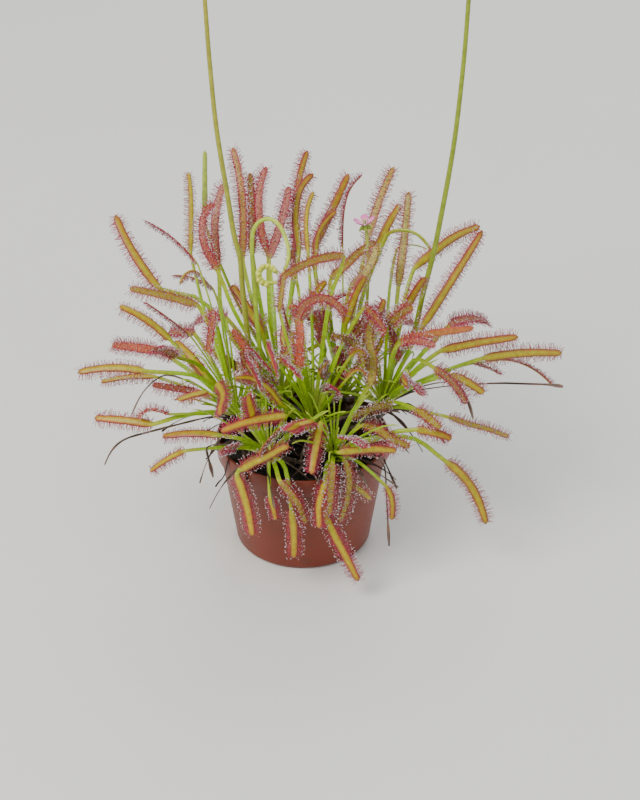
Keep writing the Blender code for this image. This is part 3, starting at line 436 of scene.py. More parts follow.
# Each rosette: foot of its crown stem in the peat (x, y), and the head that the leaves spread from
# (x, y, z)
CROWNS = {
    "rosette_left": ((-27, 4), (-34, 3, 74)),
    "rosette_back_left": ((-9, 20), (-12, 20, 72)),
    "rosette_middle": ((3, -4), (5, -4, 72)),
    "rosette_back_right": ((18, 20), (20, 20, 74)),
    "rosette_right": ((30, 0), (42, -2, 84)),
    "rosette_front_left": ((-15, -22), (-18, -26, 70)),
    "rosette_front_right": ((15, -24), (16, -28, 70)),
}

# Each leaf, as seen: a place on its petiole or None, its neck, its tip, how many degrees the blade
# turns on the way (left is positive), which way the tentacled face looks (0 to the eye, 180 away,
# 90 to the left of the way it grows), and its kind
LEAVES = {
    "rosette_left": (
        ((-48, 63, 35), (-72, 70, 42), (-95, 109, 40), -30, 170, "grown"),
        (None, (-54, 86, 20), (-82, 111, 5), 10, 90, "slim"),
        (None, (-59, 95, -4), (-60, 139, -8), 10, 150, "young"),
        (None, (-45, 76, 10), (-63, 76, 18), 140, 90, "young"),
        (None, (-47, 78, -20), (-69, 86, -24), 25, 90, "slim"),
        (None, (-52, 62, 45), (-87, 70, 52), -12, 20, "grown"),
        ((-46, 21, 10), (-68, 47, 20), (-94, 64, 26), 10, 150, "grown"),
        (None, (-59, 51, 5), (-82, 68, 8), -10, 90, "slim"),
        (None, (-48, 37, 45), (-44, 57, 66), 0, 30, "grown"),
        ((-52, 33, 20), (-64, 36, 42), (-74, 37, 74), 0, 20, "grown"),
        ((-54, 28, 22), (-80, 30, 30), (-115, 30, 26), 8, 165, "grown"),
        (None, (-76, 29, 10), (-105, 27, 3), 0, 160, "slim"),
        (None, (-70, 30, 20), (-88, 9, 16), 35, 60, "dead"),
        (None, (-53, 19, 35), (-76, 22, 44), -20, 30, "grown"),
        (None, (-68, 8, 28), (-84, 6, 30), 90, -60, "hooked"),
        (None, (-46, 17, 50), (-62, 12, 66), 0, 160, "grown"),
        ((-62, 8, 24), (-76, 3, 26), (-107, 7, 20), -12, 170, "grown"),
        (None, (-86, -2, 20), (-102, -17, 20), 60, 90, "dead"),
    ),
    "rosette_back_left": (
        (None, (-52, 112, -22), (-52, 154, -26), 0, 150, "strap"),
        ((-41, 55, -8), (-44, 88, -6), (-41, 133, -6), -35, 15, "grown"),
        (None, (-46, 82, 12), (-46, 120, 10), -75, 20, "hooked"),
        (None, (-32, 93, -16), (-37, 154, -18), 20, 20, "grown"),
        (None, (-27, 98, -34), (-28, 143, -34), 5, 0, "grown"),
        (None, (-18, 96, -14), (-19, 143, -14), -45, 20, "grown"),
        (None, (-18, 91, 2), (-7, 130, 0), 20, 10, "grown"),
        (None, (-3, 104, -30), (3, 155, -34), -25, 150, "grown"),
        (None, (-2, 95, -6), (6, 138, -8), -60, 160, "hooked"),
    ),
    "rosette_middle": (
        (None, (3, 92, 16), (6, 125, 14), -35, 150, "young"),
        (None, (-12, 58, 46), (-9, 76, 58), 0, 30, "young"),
        (None, (-6, 48, 34), (-11, 78, 40), -30, 90, "slim"),
        (None, (-3, 50, 62), (21, 54, 62), -165, 10, "grown"),
        (None, (-2, 28, 60), (-1, 50, 74), 0, 20, "grown"),
        (None, (-28, 32, 50), (-21, 18, 70), 0, 20, "grown"),
        (None, (-18, 40, 50), (-13, 25, 74), 0, 20, "grown"),
        (None, (-9, 31, 58), (-3, 23, 82), 0, 160, "grown"),
        (None, (24, 36, 44), (32, 36, 48), -130, 90, "young"),
        (None, (22, 24, 50), (32, 25, 54), -130, 90, "young"),
        ((14, 66, 34), (23, 88, 40), (-11, 76, 42), 20, 0, "grown"),
        (None, (-1, 58, 26), (12, 76, 32), 0, 160, "grown"),
        (None, (31, 62, 40), (44, 45, 54), 0, 0, "grown"),
        (None, (-4, 85, -8), (-3, 108, -10), 0, 20, "slim"),
    ),
    "rosette_back_right": (
        (None, (5, 100, -30), (25, 142, -32), 12, 170, "grown"),
        (None, (21, 100, -22), (32, 140, -24), -50, 90, "hooked"),
        (None, (5, 92, -2), (18, 118, -6), -40, 150, "slim"),
        (None, (34, 103, -20), (49, 144, -22), -5, 20, "grown"),
        (None, (36, 89, -8), (52, 122, -10), -8, 160, "grown"),
        (None, (24, 74, 18), (38, 96, 20), 60, 20, "grown"),
        (None, (14, 80, 6), (38, 100, 4), 10, 0, "grown"),
        (None, (22, 54, 26), (32, 78, 34), -10, 160, "grown"),
        (None, (44, 104, 4), (68, 95, 6), -75, 90, "bare"),
    ),
    "rosette_right": (
        (None, (50, 76, 0), (56, 127, 0), 4, 20, "grown"),
        (None, (57, 84, 12), (93, 108, 4), -14, 160, "grown"),
        (None, (60, 51, 26), (93, 103, 22), 12, 160, "grown"),
        (None, (49, 99, -12), (66, 99, -14), -40, 90, "bare"),
        (None, (51, 58, 30), (62, 76, 46), 0, 160, "grown"),
        (None, (43, 52, 36), (55, 59, 60), 0, 20, "grown"),
        (None, (49, 45, 40), (87, 51, 36), 15, 150, "grown"),
        (None, (47, 43, 52), (66, 39, 64), -10, 20, "grown"),
        (None, (70, 40, 30), (111, 48, 20), 12, 170, "grown"),
        ((72, 30, 22), (92, 37, 20), (135, 41, 5), 6, 165, "grown"),
        ((78, 34, 4), (104, 39, -2), (132, 25, -10), -30, 90, "slim"),
        (None, (88, 36, 10), (103, 30, 8), 0, 60, "slim"),
        ((97, 25, 8), (122, 25, 2), (136, 24, 0), 0, 90, "dead"),
        (None, (76, 28, 28), (93, 19, 20), 0, 150, "grown"),
        (None, (78, 26, 20), (87, 5, 18), -40, 60, "dead"),
        ((56, 35, 40), (66, 30, 46), (83, 12, 38), -20, 20, "grown"),
        (None, (54, 23, 44), (58, 14, 72), 0, 20, "grown"),
        (None, (74, 7, 20), (107, -3, 10), 10, 20, "slim"),
        (None, (50, 22, 24), (54, 24, 44), 0, 20, "young"),
        (None, (46, 12, 36), (25, 5, 48), 0, 20, "young"),
        (None, (56, 9, 48), (68, -2, 62), 0, 10, "grown"),
    ),
    "rosette_front_left": (
        ((-30, -6, 44), (-42, -4, 46), (-71, -4, 40), 0, 150, "grown"),
        (None, (-8, 5, 52), (-41, -3, 60), 5, 170, "grown"),
        (None, (-44, 22, 36), (-41, 5, 60), 0, 0, "grown"),
        (None, (-3, 3, 48), (-21, -15, 56), 40, 150, "grown"),
        (None, (-33, -10, 46), (-41, -13, 62), 0, 30, "slim"),
        (None, (-32, -22, 48), (-7, -10, 58), 0, 170, "grown"),
        (None, (-34, -23, 40), (-26, -54, 26), -10, 170, "grown"),
        (None, (-17, -34, 36), (-14, -46, 30), 0, 170, "slim"),
        (None, (-12, -27, 44), (4, -48, 34), 0, 20, "grown"),
        (None, (-6, -41, 32), (-5, -65, 20), -10, 170, "grown"),
        (None, (-60, -10, 22), (-79, -20, 10), 0, 170, "slim"),
        (None, (-50, -8, 28), (-46, -24, 26), 0, 90, "dead"),
    ),
    "rosette_front_right": (
        (None, (12, -26, 44), (5, -49, 36), 0, 160, "grown"),
        (None, (9, -42, 36), (28, -77, 20), 6, 170, "grown"),
        (None, (9, 3, 46), (4, -24, 52), 0, 170, "grown"),
        (None, (15, -18, 49), (13, -44, 45), 0, 20, "grown"),
        (None, (21, -16, 42), (18, -48, 32), -50, 30, "grown"),
        (None, (18, -13, 48), (47, -12, 46), 0, 160, "grown"),
        (None, (30, 2, 36), (54, -10, 38), 0, 30, "grown"),
        ((28, -17, 38), (42, -29, 34), (45, -46, 24), -40, 150, "slim"),
        (None, (42, -17, 28), (44, -59, 14), 0, 60, "dead"),
        ((54, -4, 30), (72, -16, 28), (94, -48, 14), -35, 165, "grown"),
        (None, (57, -1, 42), (75, -6, 44), 0, 165, "grown"),
        (None, (24, -28, 34), (34, -36, 34), 0, 20, "young"),
    ),
}

# Flower stalks, as seen, from the peat to the last bud
SCAPES = {
    "scape_tall_right": (
        (34, -1, -9), (39, 16, 0), (46, 33, 8), (57, 50, 15), (62, 70, 22), (67, 89, 30),
        (71, 109, 40), (75, 131, 50), (78, 152, 60), (81, 182, 75), (83, 212, 90), (85, 232, 100),
        (90, 246, 104), (98, 249, 104), (104, 243, 101),
    ),
    "scape_tall_left": (
        (-22, 1, -12), (-27, 38, 4), (-31, 75, 20), (-32, 89, 27), (-35, 100, 32), (-38, 119, 40),
        (-43, 150, 55), (-46, 182, 70), (-48, 212, 85), (-50, 234, 94), (-56, 246, 98),
        (-64, 247, 97), (-69, 240, 94),
    ),
    "scape_young": (
        (-18, 1, -11), (-22, 40, 2), (-25, 75, 14), (-26, 98, 20), (-24, 106, 22), (-20, 109, 23),
        (-16, 109, 24), (-12, 106, 25), (-9, 100, 26), (-7, 92, 27), (-8, 85, 28), (-11, 80, 30),
        (-14, 78, 31), (-18, 79, 32),
    ),
    "scape_flower": (
        (26, 4, -12), (31, 40, -2), (34, 74, 5), (34, 98, 9), (33, 106, 10),
    ),
}

# Leaves at the back, which rise and then droop behind the clump: headings in degrees, 90 straight
# back, then how far they reach and rise
BACK_LEAVES = {
    "rosette_left": (122, 142),
    "rosette_back_left": (78, 100, 122),
    "rosette_back_right": (52, 76, 98),
    "rosette_right": (56,),
}
BACK_REACH = 86.0
BACK_RISE = 26.0
BACK_SEED = 11


def unit(v):
    """The same direction, one long."""
    return v / np.linalg.norm(v)


def smooth_line(points, count):
    """An even run of points along a smooth curve through the given ones."""
    points = np.array(points, dtype=float)
    ends = np.vstack((2 * points[0] - points[1], points, 2 * points[-1] - points[-2]))
    fine = []
    for i in range(len(points) - 1):
        a, b, c, d = ends[i:i + 4]
        for t in np.linspace(0, 1, 24, endpoint=False):
            fine.append(0.5 * (2 * b + (c - a) * t + (2 * a - 5 * b + 4 * c - d) * t**2
                               + (3 * b - a - 3 * c + d) * t**3))
    fine.append(points[-1])
    fine = np.array(fine)
    run = np.concatenate(((0,), np.cumsum(np.linalg.norm(np.diff(fine, axis=0), axis=1))))
    at = np.linspace(0, run[-1], count)
    return np.column_stack([np.interp(at, run, fine[:, k]) for k in range(3)])


def blade_line(neck, tip, turn, curl):
    """The blade's middle line: it turns steadily, or faster near the tip where curl is over 1."""
    s = np.linspace(0, 1, 61)
    heading = math.radians(turn) * s**curl
    steps = np.column_stack((np.cos(heading), np.sin(heading)))
    flat = np.vstack(((0, 0), np.cumsum((steps[1:] + steps[:-1]) / 2, axis=0)))
    end = flat[-1]
    ahead = end / np.dot(end, end)
    along = flat @ ahead
    aside = flat @ np.array((-ahead[1], ahead[0]))
    chord = tip - neck
    left = np.cross(TOWARD_EYE, chord)
    left = unit(left) * np.linalg.norm(chord)
    line = neck + np.outer(along, chord) + np.outer(aside, left)
    line[:, 2] += BLADE_ARCH * np.linalg.norm(chord) * np.sin(np.pi * s)
    return smooth_line(line[::6], BLADE_POINTS)


def over_rim(head, neck):
    """Where a petiole that hangs out over the rim passes it."""
    shares = np.linspace(0, 1, 101)
    across = head[None, :2] + shares[:, None] * (neck - head)[None, :2]
    at = across[np.argmin(np.abs(np.hypot(across[:, 0], across[:, 1]) - LIP_RADIUS))]
    return np.array((at[0], at[1], POT_HEIGHT + OVER_RIM))


def petiole_line(head, foot, via, neck, onward):
    """The petiole's middle line, from the crown stem up and out to the neck of the blade."""
    axis = unit(head - foot)
    if via is None and neck[2] < POT_HEIGHT + OVER_RIM * 0.8:
        via = over_rim(head, neck)
    way = unit((via if via is not None else neck) - head)
    drop = ATTACH_HIGH + (ATTACH_LOW - ATTACH_HIGH) * (1 - max(0.0, way[2]))**2
    root = head - axis * drop
    outward = way - axis * np.dot(way, axis)
    outward = outward / max(0.3, np.linalg.norm(outward))
    start = root + outward * ROOT_SUNK
    reach = np.linalg.norm(neck - start)
    rise = unit(way + 0.7 * axis)
    points = [start, start + rise * reach * 0.22]
    if via is not None:
        points.append(via)
    else:
        points.append(0.42 * start + 0.58 * neck + axis * reach * 0.06 - onward * reach * 0.04)
    points.append(neck)
    return smooth_line(points, PETIOLE_POINTS)


def back_leaves(name, rng):
    """Leaves that rise from the crown and droop behind it, each a little different."""
    head = np.array(CROWNS[name][1], dtype=float)
    for heading in BACK_LEAVES.get(name, ()):
        angle = math.radians(heading + rng.uniform(-6, 6))
        out = np.array((math.cos(angle), math.sin(angle), 0.0))
        reach = BACK_REACH * rng.uniform(0.85, 1.1)
        rise = BACK_RISE * rng.uniform(0.5, 1.0)
        neck = head + out * reach * 0.6 + np.array((0, 0, rise))
        tip = head + out * reach + np.array((0, 0, rise * 0.2))
        yield None, neck, tip, rng.uniform(-20, 20), 0, "grown"


def leaf_lines():
    """Every leaf with its middle line, in the order of its rosette."""
    rng = np.random.default_rng(BACK_SEED)
    leaves = []
    for name, rows in LEAVES.items():
        foot = np.array((*CROWNS[name][0], PEAT_LEVEL))
        head = np.array(CROWNS[name][1], dtype=float)
        placed = [(None if via is None else seen(*via), seen(*neck), seen(*tip), *rest)
                  for via, neck, tip, *rest in rows]
        for via, neck, tip, turn, face, kind in placed + list(back_leaves(name, rng)):
            blade = blade_line(neck, tip, turn, LEAF_KINDS[kind]["curl"])
            petiole = petiole_line(head, foot, via, neck, unit(blade[1] - blade[0]))
            line = np.vstack((petiole, blade[1:]))
            leaves.append({"owner": name, "kind": kind, "face": face, "line": line})
    return leaves


def clear_of_pot(points, room):
    """Lifts what would touch the peat or the rim, and moves what hangs outside off the wall."""
    radius = np.hypot(points[:, 0], points[:, 1])
    rim = POT_HEIGHT + room
    peat = PEAT_LEVEL + PEAT_CROWN + PEAT_LUMP + room
    inside = radius < LIP_RADIUS - WALL - 1.0 - room
    low = inside & (points[:, 2] < peat)
    points[low, 2] = peat[low]
    over = ~inside & (radius < LIP_RADIUS) & (points[:, 2] < rim)
    points[over, 2] = rim[over]
    wall = LIP_RADIUS + room + 0.4
    hanging = (radius >= LIP_RADIUS) & (radius < wall) & (points[:, 2] < rim)
    scale = wall[hanging] / radius[hanging]
    points[hanging, 0] *= scale
    points[hanging, 1] *= scale
    points[:, 2] = np.maximum(points[:, 2], room + 1.0)


def make_room(leaves, fixed):
    """Bends leaves apart until none touches another rosette's leaf, a stem or a stalk."""
    count = len(leaves)
    length = PETIOLE_POINTS + BLADE_POINTS - 1
    share = np.linspace(0, 1, length)
    free = np.clip((share - HELD_TO) / (FREE_FROM - HELD_TO), 0, 1)
    room = np.where(np.arange(length) < PETIOLE_POINTS - 1, PETIOLE_ROOM, BLADE_ROOM)
    rooms = [np.minimum(room, SLIM_ROOMS.get(leaf["kind"], BLADE_ROOM)) for leaf in leaves]
    names = list(CROWNS) + list(SCAPES)
    points = np.concatenate([leaf["line"] for leaf in leaves] + [line for _, line, _ in fixed])
    reach = np.concatenate(rooms + [np.full(len(line), r) for _, line, r in fixed])
    moves = np.concatenate([free] * count + [np.zeros(len(line)) for _, line, _ in fixed])
    owner = np.concatenate([np.full(length, names.index(leaf["owner"])) for leaf in leaves]
                           + [np.full(len(line), names.index(name)) for name, line, _ in fixed])
    leaf_no = np.concatenate(
        [np.full(length, i) for i in range(count)]
        + [np.full(len(line), count + i) for i, (_, line, _) in enumerate(fixed)])
    movable = count * length
    for _ in range(ROOM_ROUNDS):
        square = (points**2).sum(1)
        apart = square[:, None] + square[None, :] - 2 * points @ points.T
        near = apart < (reach[:, None] + reach[None, :] + ROOM_SEARCH)**2
        first, second = np.nonzero(np.triu(near, 1))
        other = leaf_no[first] != leaf_no[second]
        other &= (moves[first] + moves[second]) > 0
        first, second = first[other], second[other]
        same = owner[first] == owner[second]
        both_out = np.minimum(moves[first], moves[second]) > 0.9
        keep = ~same | both_out
        first, second, same = first[keep], second[keep], same[keep]
        wanted = (reach[first] + reach[second]) * np.where(same, CROWN_ROOM, 1.0)
        weight = moves[first] / (moves[first] + moves[second])
        for _ in range(ROOM_STEPS):
            between = points[first] - points[second]
            distance = np.linalg.norm(between, axis=1) + 1e-6
            short = np.maximum(0, wanted - distance)
            push = between / distance[:, None] * short[:, None]
            field = np.zeros_like(points)
            hits = np.zeros(len(points))
            np.add.at(field, first, push * weight[:, None])
            np.add.at(field, second, -push * (1 - weight)[:, None])
            np.add.at(hits, first, short > 0)
            np.add.at(hits, second, short > 0)
            field /= np.maximum(1, hits * PUSH_SHARE)[:, None]
            sheet = field[:movable].reshape(count, length, 3)
            for _ in range(3):
                wide = np.pad(sheet, ((0, 0), (1, 1), (0, 0)), mode="edge")
                sheet = 0.3 * wide[:, :-2] + 0.4 * wide[:, 1:-1] + 0.3 * wide[:, 2:]
            sheet *= free[None, :, None]
            points[:movable] += PUSH_STEP * sheet.reshape(-1, 3)
            moving = points[:movable].copy()
            clear_of_pot(moving, reach[:movable] - 0.6)
            follow = np.minimum(1, moves[:movable] * 2)
            points[:movable] += (moving - points[:movable]) * follow[:, None]
    for i, leaf in enumerate(leaves):
        leaf["line"] = points[i * length:(i + 1) * length]


def scape_line(name):
    """A flower stalk's middle line, from its buried foot to its last bud."""
    foot = seen(*SCAPES[name][0])
    buried = np.array((foot[0], foot[1], PEAT_LEVEL - STEM_BURIED))
    collar = np.array((foot[0], foot[1], PEAT_LEVEL + PEAT_CROWN + 1.0))
    route = [buried, collar] + [seen(*p) for p in SCAPES[name][1:]]
    length = sum(np.linalg.norm(b - a) for a, b in zip(route, route[1:]))
    return np.vstack((buried, smooth_line(route[1:], max(12, int(length / 5)))))


# Crown stems and leaves
# Each crown is a short woody stem set round with leaves: a narrow strap for a petiole, then a
# channelled blade with a midrib below. New leaves are pale green; grown ones turn olive and flush
# red at their edges and tips.
STEM_RADIUS = 3.2
HEAD_RADIUS = 4.2
STEM_RINGS = 26
STEM_SIDES = 14
STEM_KNOBS = 0.3
LEAF_STEPS = 110
# How often a leaf's line is evened out: a dry one hangs straighter
SMOOTHINGS = 14
DRY_SMOOTHINGS = 60
PETIOLE_RINGS = 10
BLADE_RINGS = 26
LEAF_DEPTH = 0.8
CHANNEL = 0.25
DRY_DEPTH = 0.8
LEAF_SEED = 23
# Leaves that fill the clump's middle: how many to a crown, how steeply they rise in degrees, how
# long their petioles and blades are, and how much room they leave the others
INNER_LEAVES = {
    "rosette_left": 3, "rosette_back_left": 4, "rosette_middle": 5, "rosette_back_right": 4,
    "rosette_right": 4, "rosette_front_left": 2, "rosette_front_right": 3,
}
INNER_RISE = (38, 74)
INNER_NECK = (20.0, 38.0)
INNER_BLADE = (20.0, 32.0)
INNER_ROOM = 3.4
# The leaf's outline across, from its left edge over the upper face and back under the keel: share
# of the half width, share of the depth
ACROSS = np.array([
    (-1.0, -0.1), (-0.82, -0.02), (-0.4, -0.18), (0.4, -0.18), (0.82, -0.02), (1.0, -0.1),
    (0.92, -0.45), (0.55, -0.74), (0.12, -0.9), (-0.12, -0.9), (-0.55, -0.74), (-0.92, -0.45)])
UPPER_POINTS = 6
# How much a leaf of each kind is flushed with red, from 0 to 1, and how much more on the sunniest
# crowns; only a leaf that starts above the last value turns salmon all over
FLUSH = {
    "grown": (0.3, 1.0), "hooked": (0.7, 1.0), "slim": (0.4, 0.9), "young": (0.0, 0.25),
    "bare": (0.0, 0.1), "strap": (0.0, 0.1), "dead": (0.5, 0.9),
}
REDDER = {"rosette_middle": 0.2, "rosette_back_left": 0.1}
SALMON_ABOVE = 0.95
STEM_BARK = colour("#3B2D1A")
PETIOLE_FOOT = colour("#B9C75A")
PETIOLE_GREEN = colour("#98BF0E")
NECK_OLIVE = colour("#A9A92E")
BLADE_OLIVE = colour("#A0940F")
BLADE_YELLOW = colour("#BFB61E")
BLADE_ORANGE = colour("#B0721A")
EDGE_RED = colour("#84222F")
FACE_GREEN = colour("#A2952A")
FACE_RED = colour("#A53443")
TIP_RED = colour("#8E2E30")
SALMON = colour("#C96B45")
PALE_GREEN = colour("#AFC24A")
WITHERED = colour("#34221A")
WITHERED_GREY = colour("#8A7264")


def fine_frames(leaf):
    """Close places along a leaf, the way ahead and the upper face's normal, without twist."""
    line = leaf["line"]
    run = np.concatenate(((0,), np.cumsum(np.linalg.norm(np.diff(line, axis=0), axis=1))))
    fine = smooth_line(line, LEAF_STEPS)
    for _ in range(DRY_SMOOTHINGS if leaf["kind"] == "dead" else SMOOTHINGS):
        fine[1:-1] = (fine[:-2] + 2 * fine[1:-1] + fine[2:]) / 4
    neck = run[PETIOLE_POINTS - 1] / run[-1]
    ahead = np.gradient(fine, axis=0)
    ahead /= np.linalg.norm(ahead, axis=1)[:, None]
    first = int(round(neck * (LEAF_STEPS - 1)))
    side = unit(np.cross(TOWARD_EYE, fine[-1] - fine[first]))
    angle = math.radians(leaf["face"])
    outer = TOWARD_EYE * math.cos(angle) + side * math.sin(angle) + side * 0.05
    normals = np.zeros_like(fine)
    normals[first] = unit(outer - ahead[first] * np.dot(outer, ahead[first]))
    for k in list(range(first + 1, LEAF_STEPS)) + list(range(first - 1, -1, -1)):
        last = normals[k - 1] if k > first else normals[k + 1]
        normals[k] = unit(last - ahead[k] * np.dot(last, ahead[k]))
    return {"places": fine, "ways": ahead, "normals": normals, "neck": neck, "length": run[-1]}


def along(frames, shares):
    """Places, ways, normals and sides at shares of a leaf's length."""
    at = np.asarray(shares) * (LEAF_STEPS - 1)
    steps = np.arange(LEAF_STEPS)
    places, ways, normals = (
        np.column_stack([np.interp(at, steps, frames[key][:, k]) for k in range(3)])
        for key in ("places", "ways", "normals"))
    ways /= np.linalg.norm(ways, axis=1)[:, None]
    normals -= ways * (ways * normals).sum(1)[:, None]
    normals /= np.linalg.norm(normals, axis=1)[:, None]
    return places, ways, normals, np.cross(ways, normals)


def blade_half(kind, share):
    """Half the blade's width at a share of its length.

    It opens at the neck, narrows slowly and ends round.
    """
    opening = np.clip(share / 0.14, 0, 1)
    opening = opening * opening * (3 - 2 * opening)
    half = kind["petiole"] + (kind["blade"] - kind["petiole"]) * opening
    end = np.sqrt(np.clip(1 - (np.clip(share - 0.95, 0, 1) / 0.052)**2, 0.02, 1))
    return half * (1 - 0.3 * share**3) * end


def mixed(low, high, share):
    """Colours between two, one for each share."""
    return np.array(low) + (np.array(high) - np.array(low)) * np.clip(share, 0, 1)[..., None]


def leaf_shape(leaf, shares, on_blade):
    """Half the leaf's width and the share of its depth at shares of its length."""
    kind = LEAF_KINDS[leaf["kind"]]
    if kind["tentacles"] or leaf["kind"] == "strap":
        half = np.where(on_blade > 0, blade_half(kind, on_blade), kind["petiole"])
    elif leaf["kind"] == "dead":
        half = kind["petiole"] * (0.7 + 0.6 * on_blade * (1 - on_blade**8))
    else:
        half = kind["petiole"] * (1.65 - 0.9 * on_blade**6)
    crinkle = (0.035 * np.sin(shares * 90 + leaf["phase"])
               + 0.025 * np.sin(shares * 41 + 2 * leaf["phase"]))
    half = half * (1 + crinkle * (on_blade > 0.05))
    deep = (np.where(on_blade > 0, 1.0 - 0.25 * on_blade, 1.0)
            * np.minimum(1, half / kind["petiole"] * 1.2))
    if leaf["kind"] == "dead":
        half = half * (1.0 + 0.2 * np.sin(shares * 38 + leaf["phase"]))
        deep = deep * DRY_DEPTH
    return half, deep


def leaf_tints(leaf, edge, upper, way, down):
    """A leaf's colours, by how near its edge, on which face and how far along a point lies."""
    flush = leaf["flush"]
    if leaf["kind"] == "dead":
        grey = 0.5 + 0.5 * np.sin(down * 9 + edge * 3 + leaf["phase"])
        return mixed(WITHERED, WITHERED_GREY, grey) * 0.8
    petiole = mixed(PETIOLE_FOOT, PETIOLE_GREEN, down * 2.5)
    petiole = mixed(petiole, NECK_OLIVE, (down - 0.7) * 2.5)
    back = mixed(BLADE_YELLOW, BLADE_OLIVE, np.full_like(way, 0.1 + 0.7 * flush))
    back = mixed(back, BLADE_ORANGE,
                 (way - 0.35) * 0.9 * flush + (edge > 0.2) * (0.2 + 0.4 * flush))
    back = mixed(back, EDGE_RED, (edge - 0.48) * 2.3 * (0.7 + 0.45 * flush))
    face = mixed(FACE_GREEN, FACE_RED,
                 (edge - 0.35) * 1.6 * (0.5 + 0.6 * flush) + 1.6 * (flush - 0.5))
    face = mixed(face, EDGE_RED, (edge - 0.75) * 2.6 * (0.3 + 0.7 * flush))
    blade = np.where(upper[..., None], face, back)
    blade = mixed(blade, TIP_RED, (way - 0.93) * 9 * (0.3 + flush))
    if flush > SALMON_ABOVE:
        blade = mixed(blade, SALMON, np.full_like(way, 0.65))
    tints = mixed(petiole, blade, way * 10)
    return tints if LEAF_KINDS[leaf["kind"]]["tentacles"] else mixed(tints, PALE_GREEN, way * 3)


def leaf_body(leaf):
    """One leaf's points, faces and colours."""
    frames = leaf["frames"]
    neck = frames["neck"]
    shares = np.concatenate((np.linspace(0, neck, PETIOLE_RINGS, endpoint=False),
                             neck + (1 - neck) * np.linspace(0, 1, BLADE_RINGS)**0.92))
    places, _, normals, sides = along(frames, shares)
    on_blade = np.clip((shares - neck) / (1 - neck), 0, 1)
    half, deep = leaf_shape(leaf, shares, on_blade)
    if leaf["kind"] == "dead":
        turn = shares * 3 + leaf["phase"]
        sides, normals = (sides * np.cos(turn)[:, None] + normals * np.sin(turn)[:, None],
                          normals * np.cos(turn)[:, None] - sides * np.sin(turn)[:, None])
    u = ACROSS[:, 0][None] * half[:, None]
    v = ACROSS[:, 1][None] * (CHANNEL + LEAF_DEPTH) * deep[:, None]
    points = places[:, None] + sides[:, None] * u[..., None] + normals[:, None] * v[..., None]
    edge = np.abs(ACROSS[:, 0])[None].repeat(len(shares), 0)
    upper = (np.arange(len(ACROSS)) < UPPER_POINTS)[None].repeat(len(shares), 0)
    way = on_blade[:, None].repeat(len(ACROSS), 1)
    down = (shares / neck)[:, None].repeat(len(ACROSS), 1)
    tints = leaf_tints(leaf, edge, upper, way, down) * leaf["light"]
    return points.reshape(-1, 3), skin(len(shares), len(ACROSS)), tints.reshape(-1, 3)


def ring_run(places, radii, sides):
    """Points of round rings along a line, without twist."""
    ways = np.gradient(places, axis=0)
    ways /= np.linalg.norm(ways, axis=1)[:, None]
    across = np.zeros_like(places)
    across[0] = unit(np.cross(ways[0], (0.3, 1.0, 0.1)))
    for k in range(1, len(places)):
        across[k] = unit(across[k - 1] - ways[k] * np.dot(across[k - 1], ways[k]))
    other = np.cross(ways, across)
    turns = 2 * np.pi * np.arange(sides) / sides
    rings = (across[:, None] * np.cos(turns)[None, :, None]
             + other[:, None] * np.sin(turns)[None, :, None])
    return (places[:, None] + rings * np.asarray(radii)[:, None, None]).reshape(-1, 3)


def stem_points(foot, head):
    """A crown stem: upright in the peat, leaning to its head, knobbly with old leaf bases."""
    up = np.array((0, 0, 1.0))
    way = unit(head - foot - up * 4)
    route = [foot - up * 8, foot, foot + up * 4, head - way * 3, head + way * 1.5]
    shares = np.linspace(0, 1, STEM_RINGS)
    radii = (STEM_RADIUS + (HEAD_RADIUS - STEM_RADIUS) * shares
             + STEM_KNOBS * np.sin(shares * 55))
    radii[-3:] *= (0.9, 0.72, 0.4)
    return ring_run(smooth_line(route, STEM_RINGS), radii, STEM_SIDES)


# How the light goes through green tissue: reds and greens far, blue hardly
SAP_GLOW = (1.0, 0.9, 0.25)

# Living leaf: waxy, moist and a little see-through, so the light soaks in and edges glow. It is
# mottled in spots 2 mm wide, coarser than real cells, so that they show, and flushed with rust in
# patches 5 mm wide.
leaf_skin, tree, shader = material("sundew_leaf", "#9AA030", 0.38, 1.42)
shaded, relief = tinted(tree, shader, spot=1.92, detail=4.0, low=0.8, high=1.22)
rust, _ = mottle(tree, spot=5.26, detail=3.0, low=-0.5, high=0.28)
flushed = add_node(tree, "ShaderNodeMix", {"data_type": "RGBA", 7: (*colour("#A5532F"), 1)},
                   {0: rust, 6: shaded})
tree.links.new(flushed.outputs[2], shader.inputs["Base Color"])
shader.inputs["Subsurface Weight"].default_value = 0.18
shader.inputs["Subsurface Radius"].default_value = SAP_GLOW
shader.inputs["Subsurface Scale"].default_value = 1.2 * MM
bump = add_node(tree, "ShaderNodeBump", {"Strength": 0.25, "Distance": 0.3 * MM},
                {"Height": relief})
tree.links.new(bump.outputs["Normal"], shader.inputs["Normal"])

scape_lines = {name: scape_line(name) for name in SCAPES}
all_leaves = leaf_lines()
standing = []
for crown, (foot_place, head_place) in CROWNS.items():
    route = [(*foot_place, PEAT_LEVEL), (*foot_place, PEAT_LEVEL + 4), head_place]
    standing.append((crown, smooth_line(route, 8), STEM_HEAD_RADIUS + 0.5))
for name, route in scape_lines.items():
    count = max(12, int(np.linalg.norm(np.diff(route, axis=0), axis=1).sum() / 4))
    standing.append((name, smooth_line(route, count), SCAPE_ROOM))
make_room(all_leaves, standing)


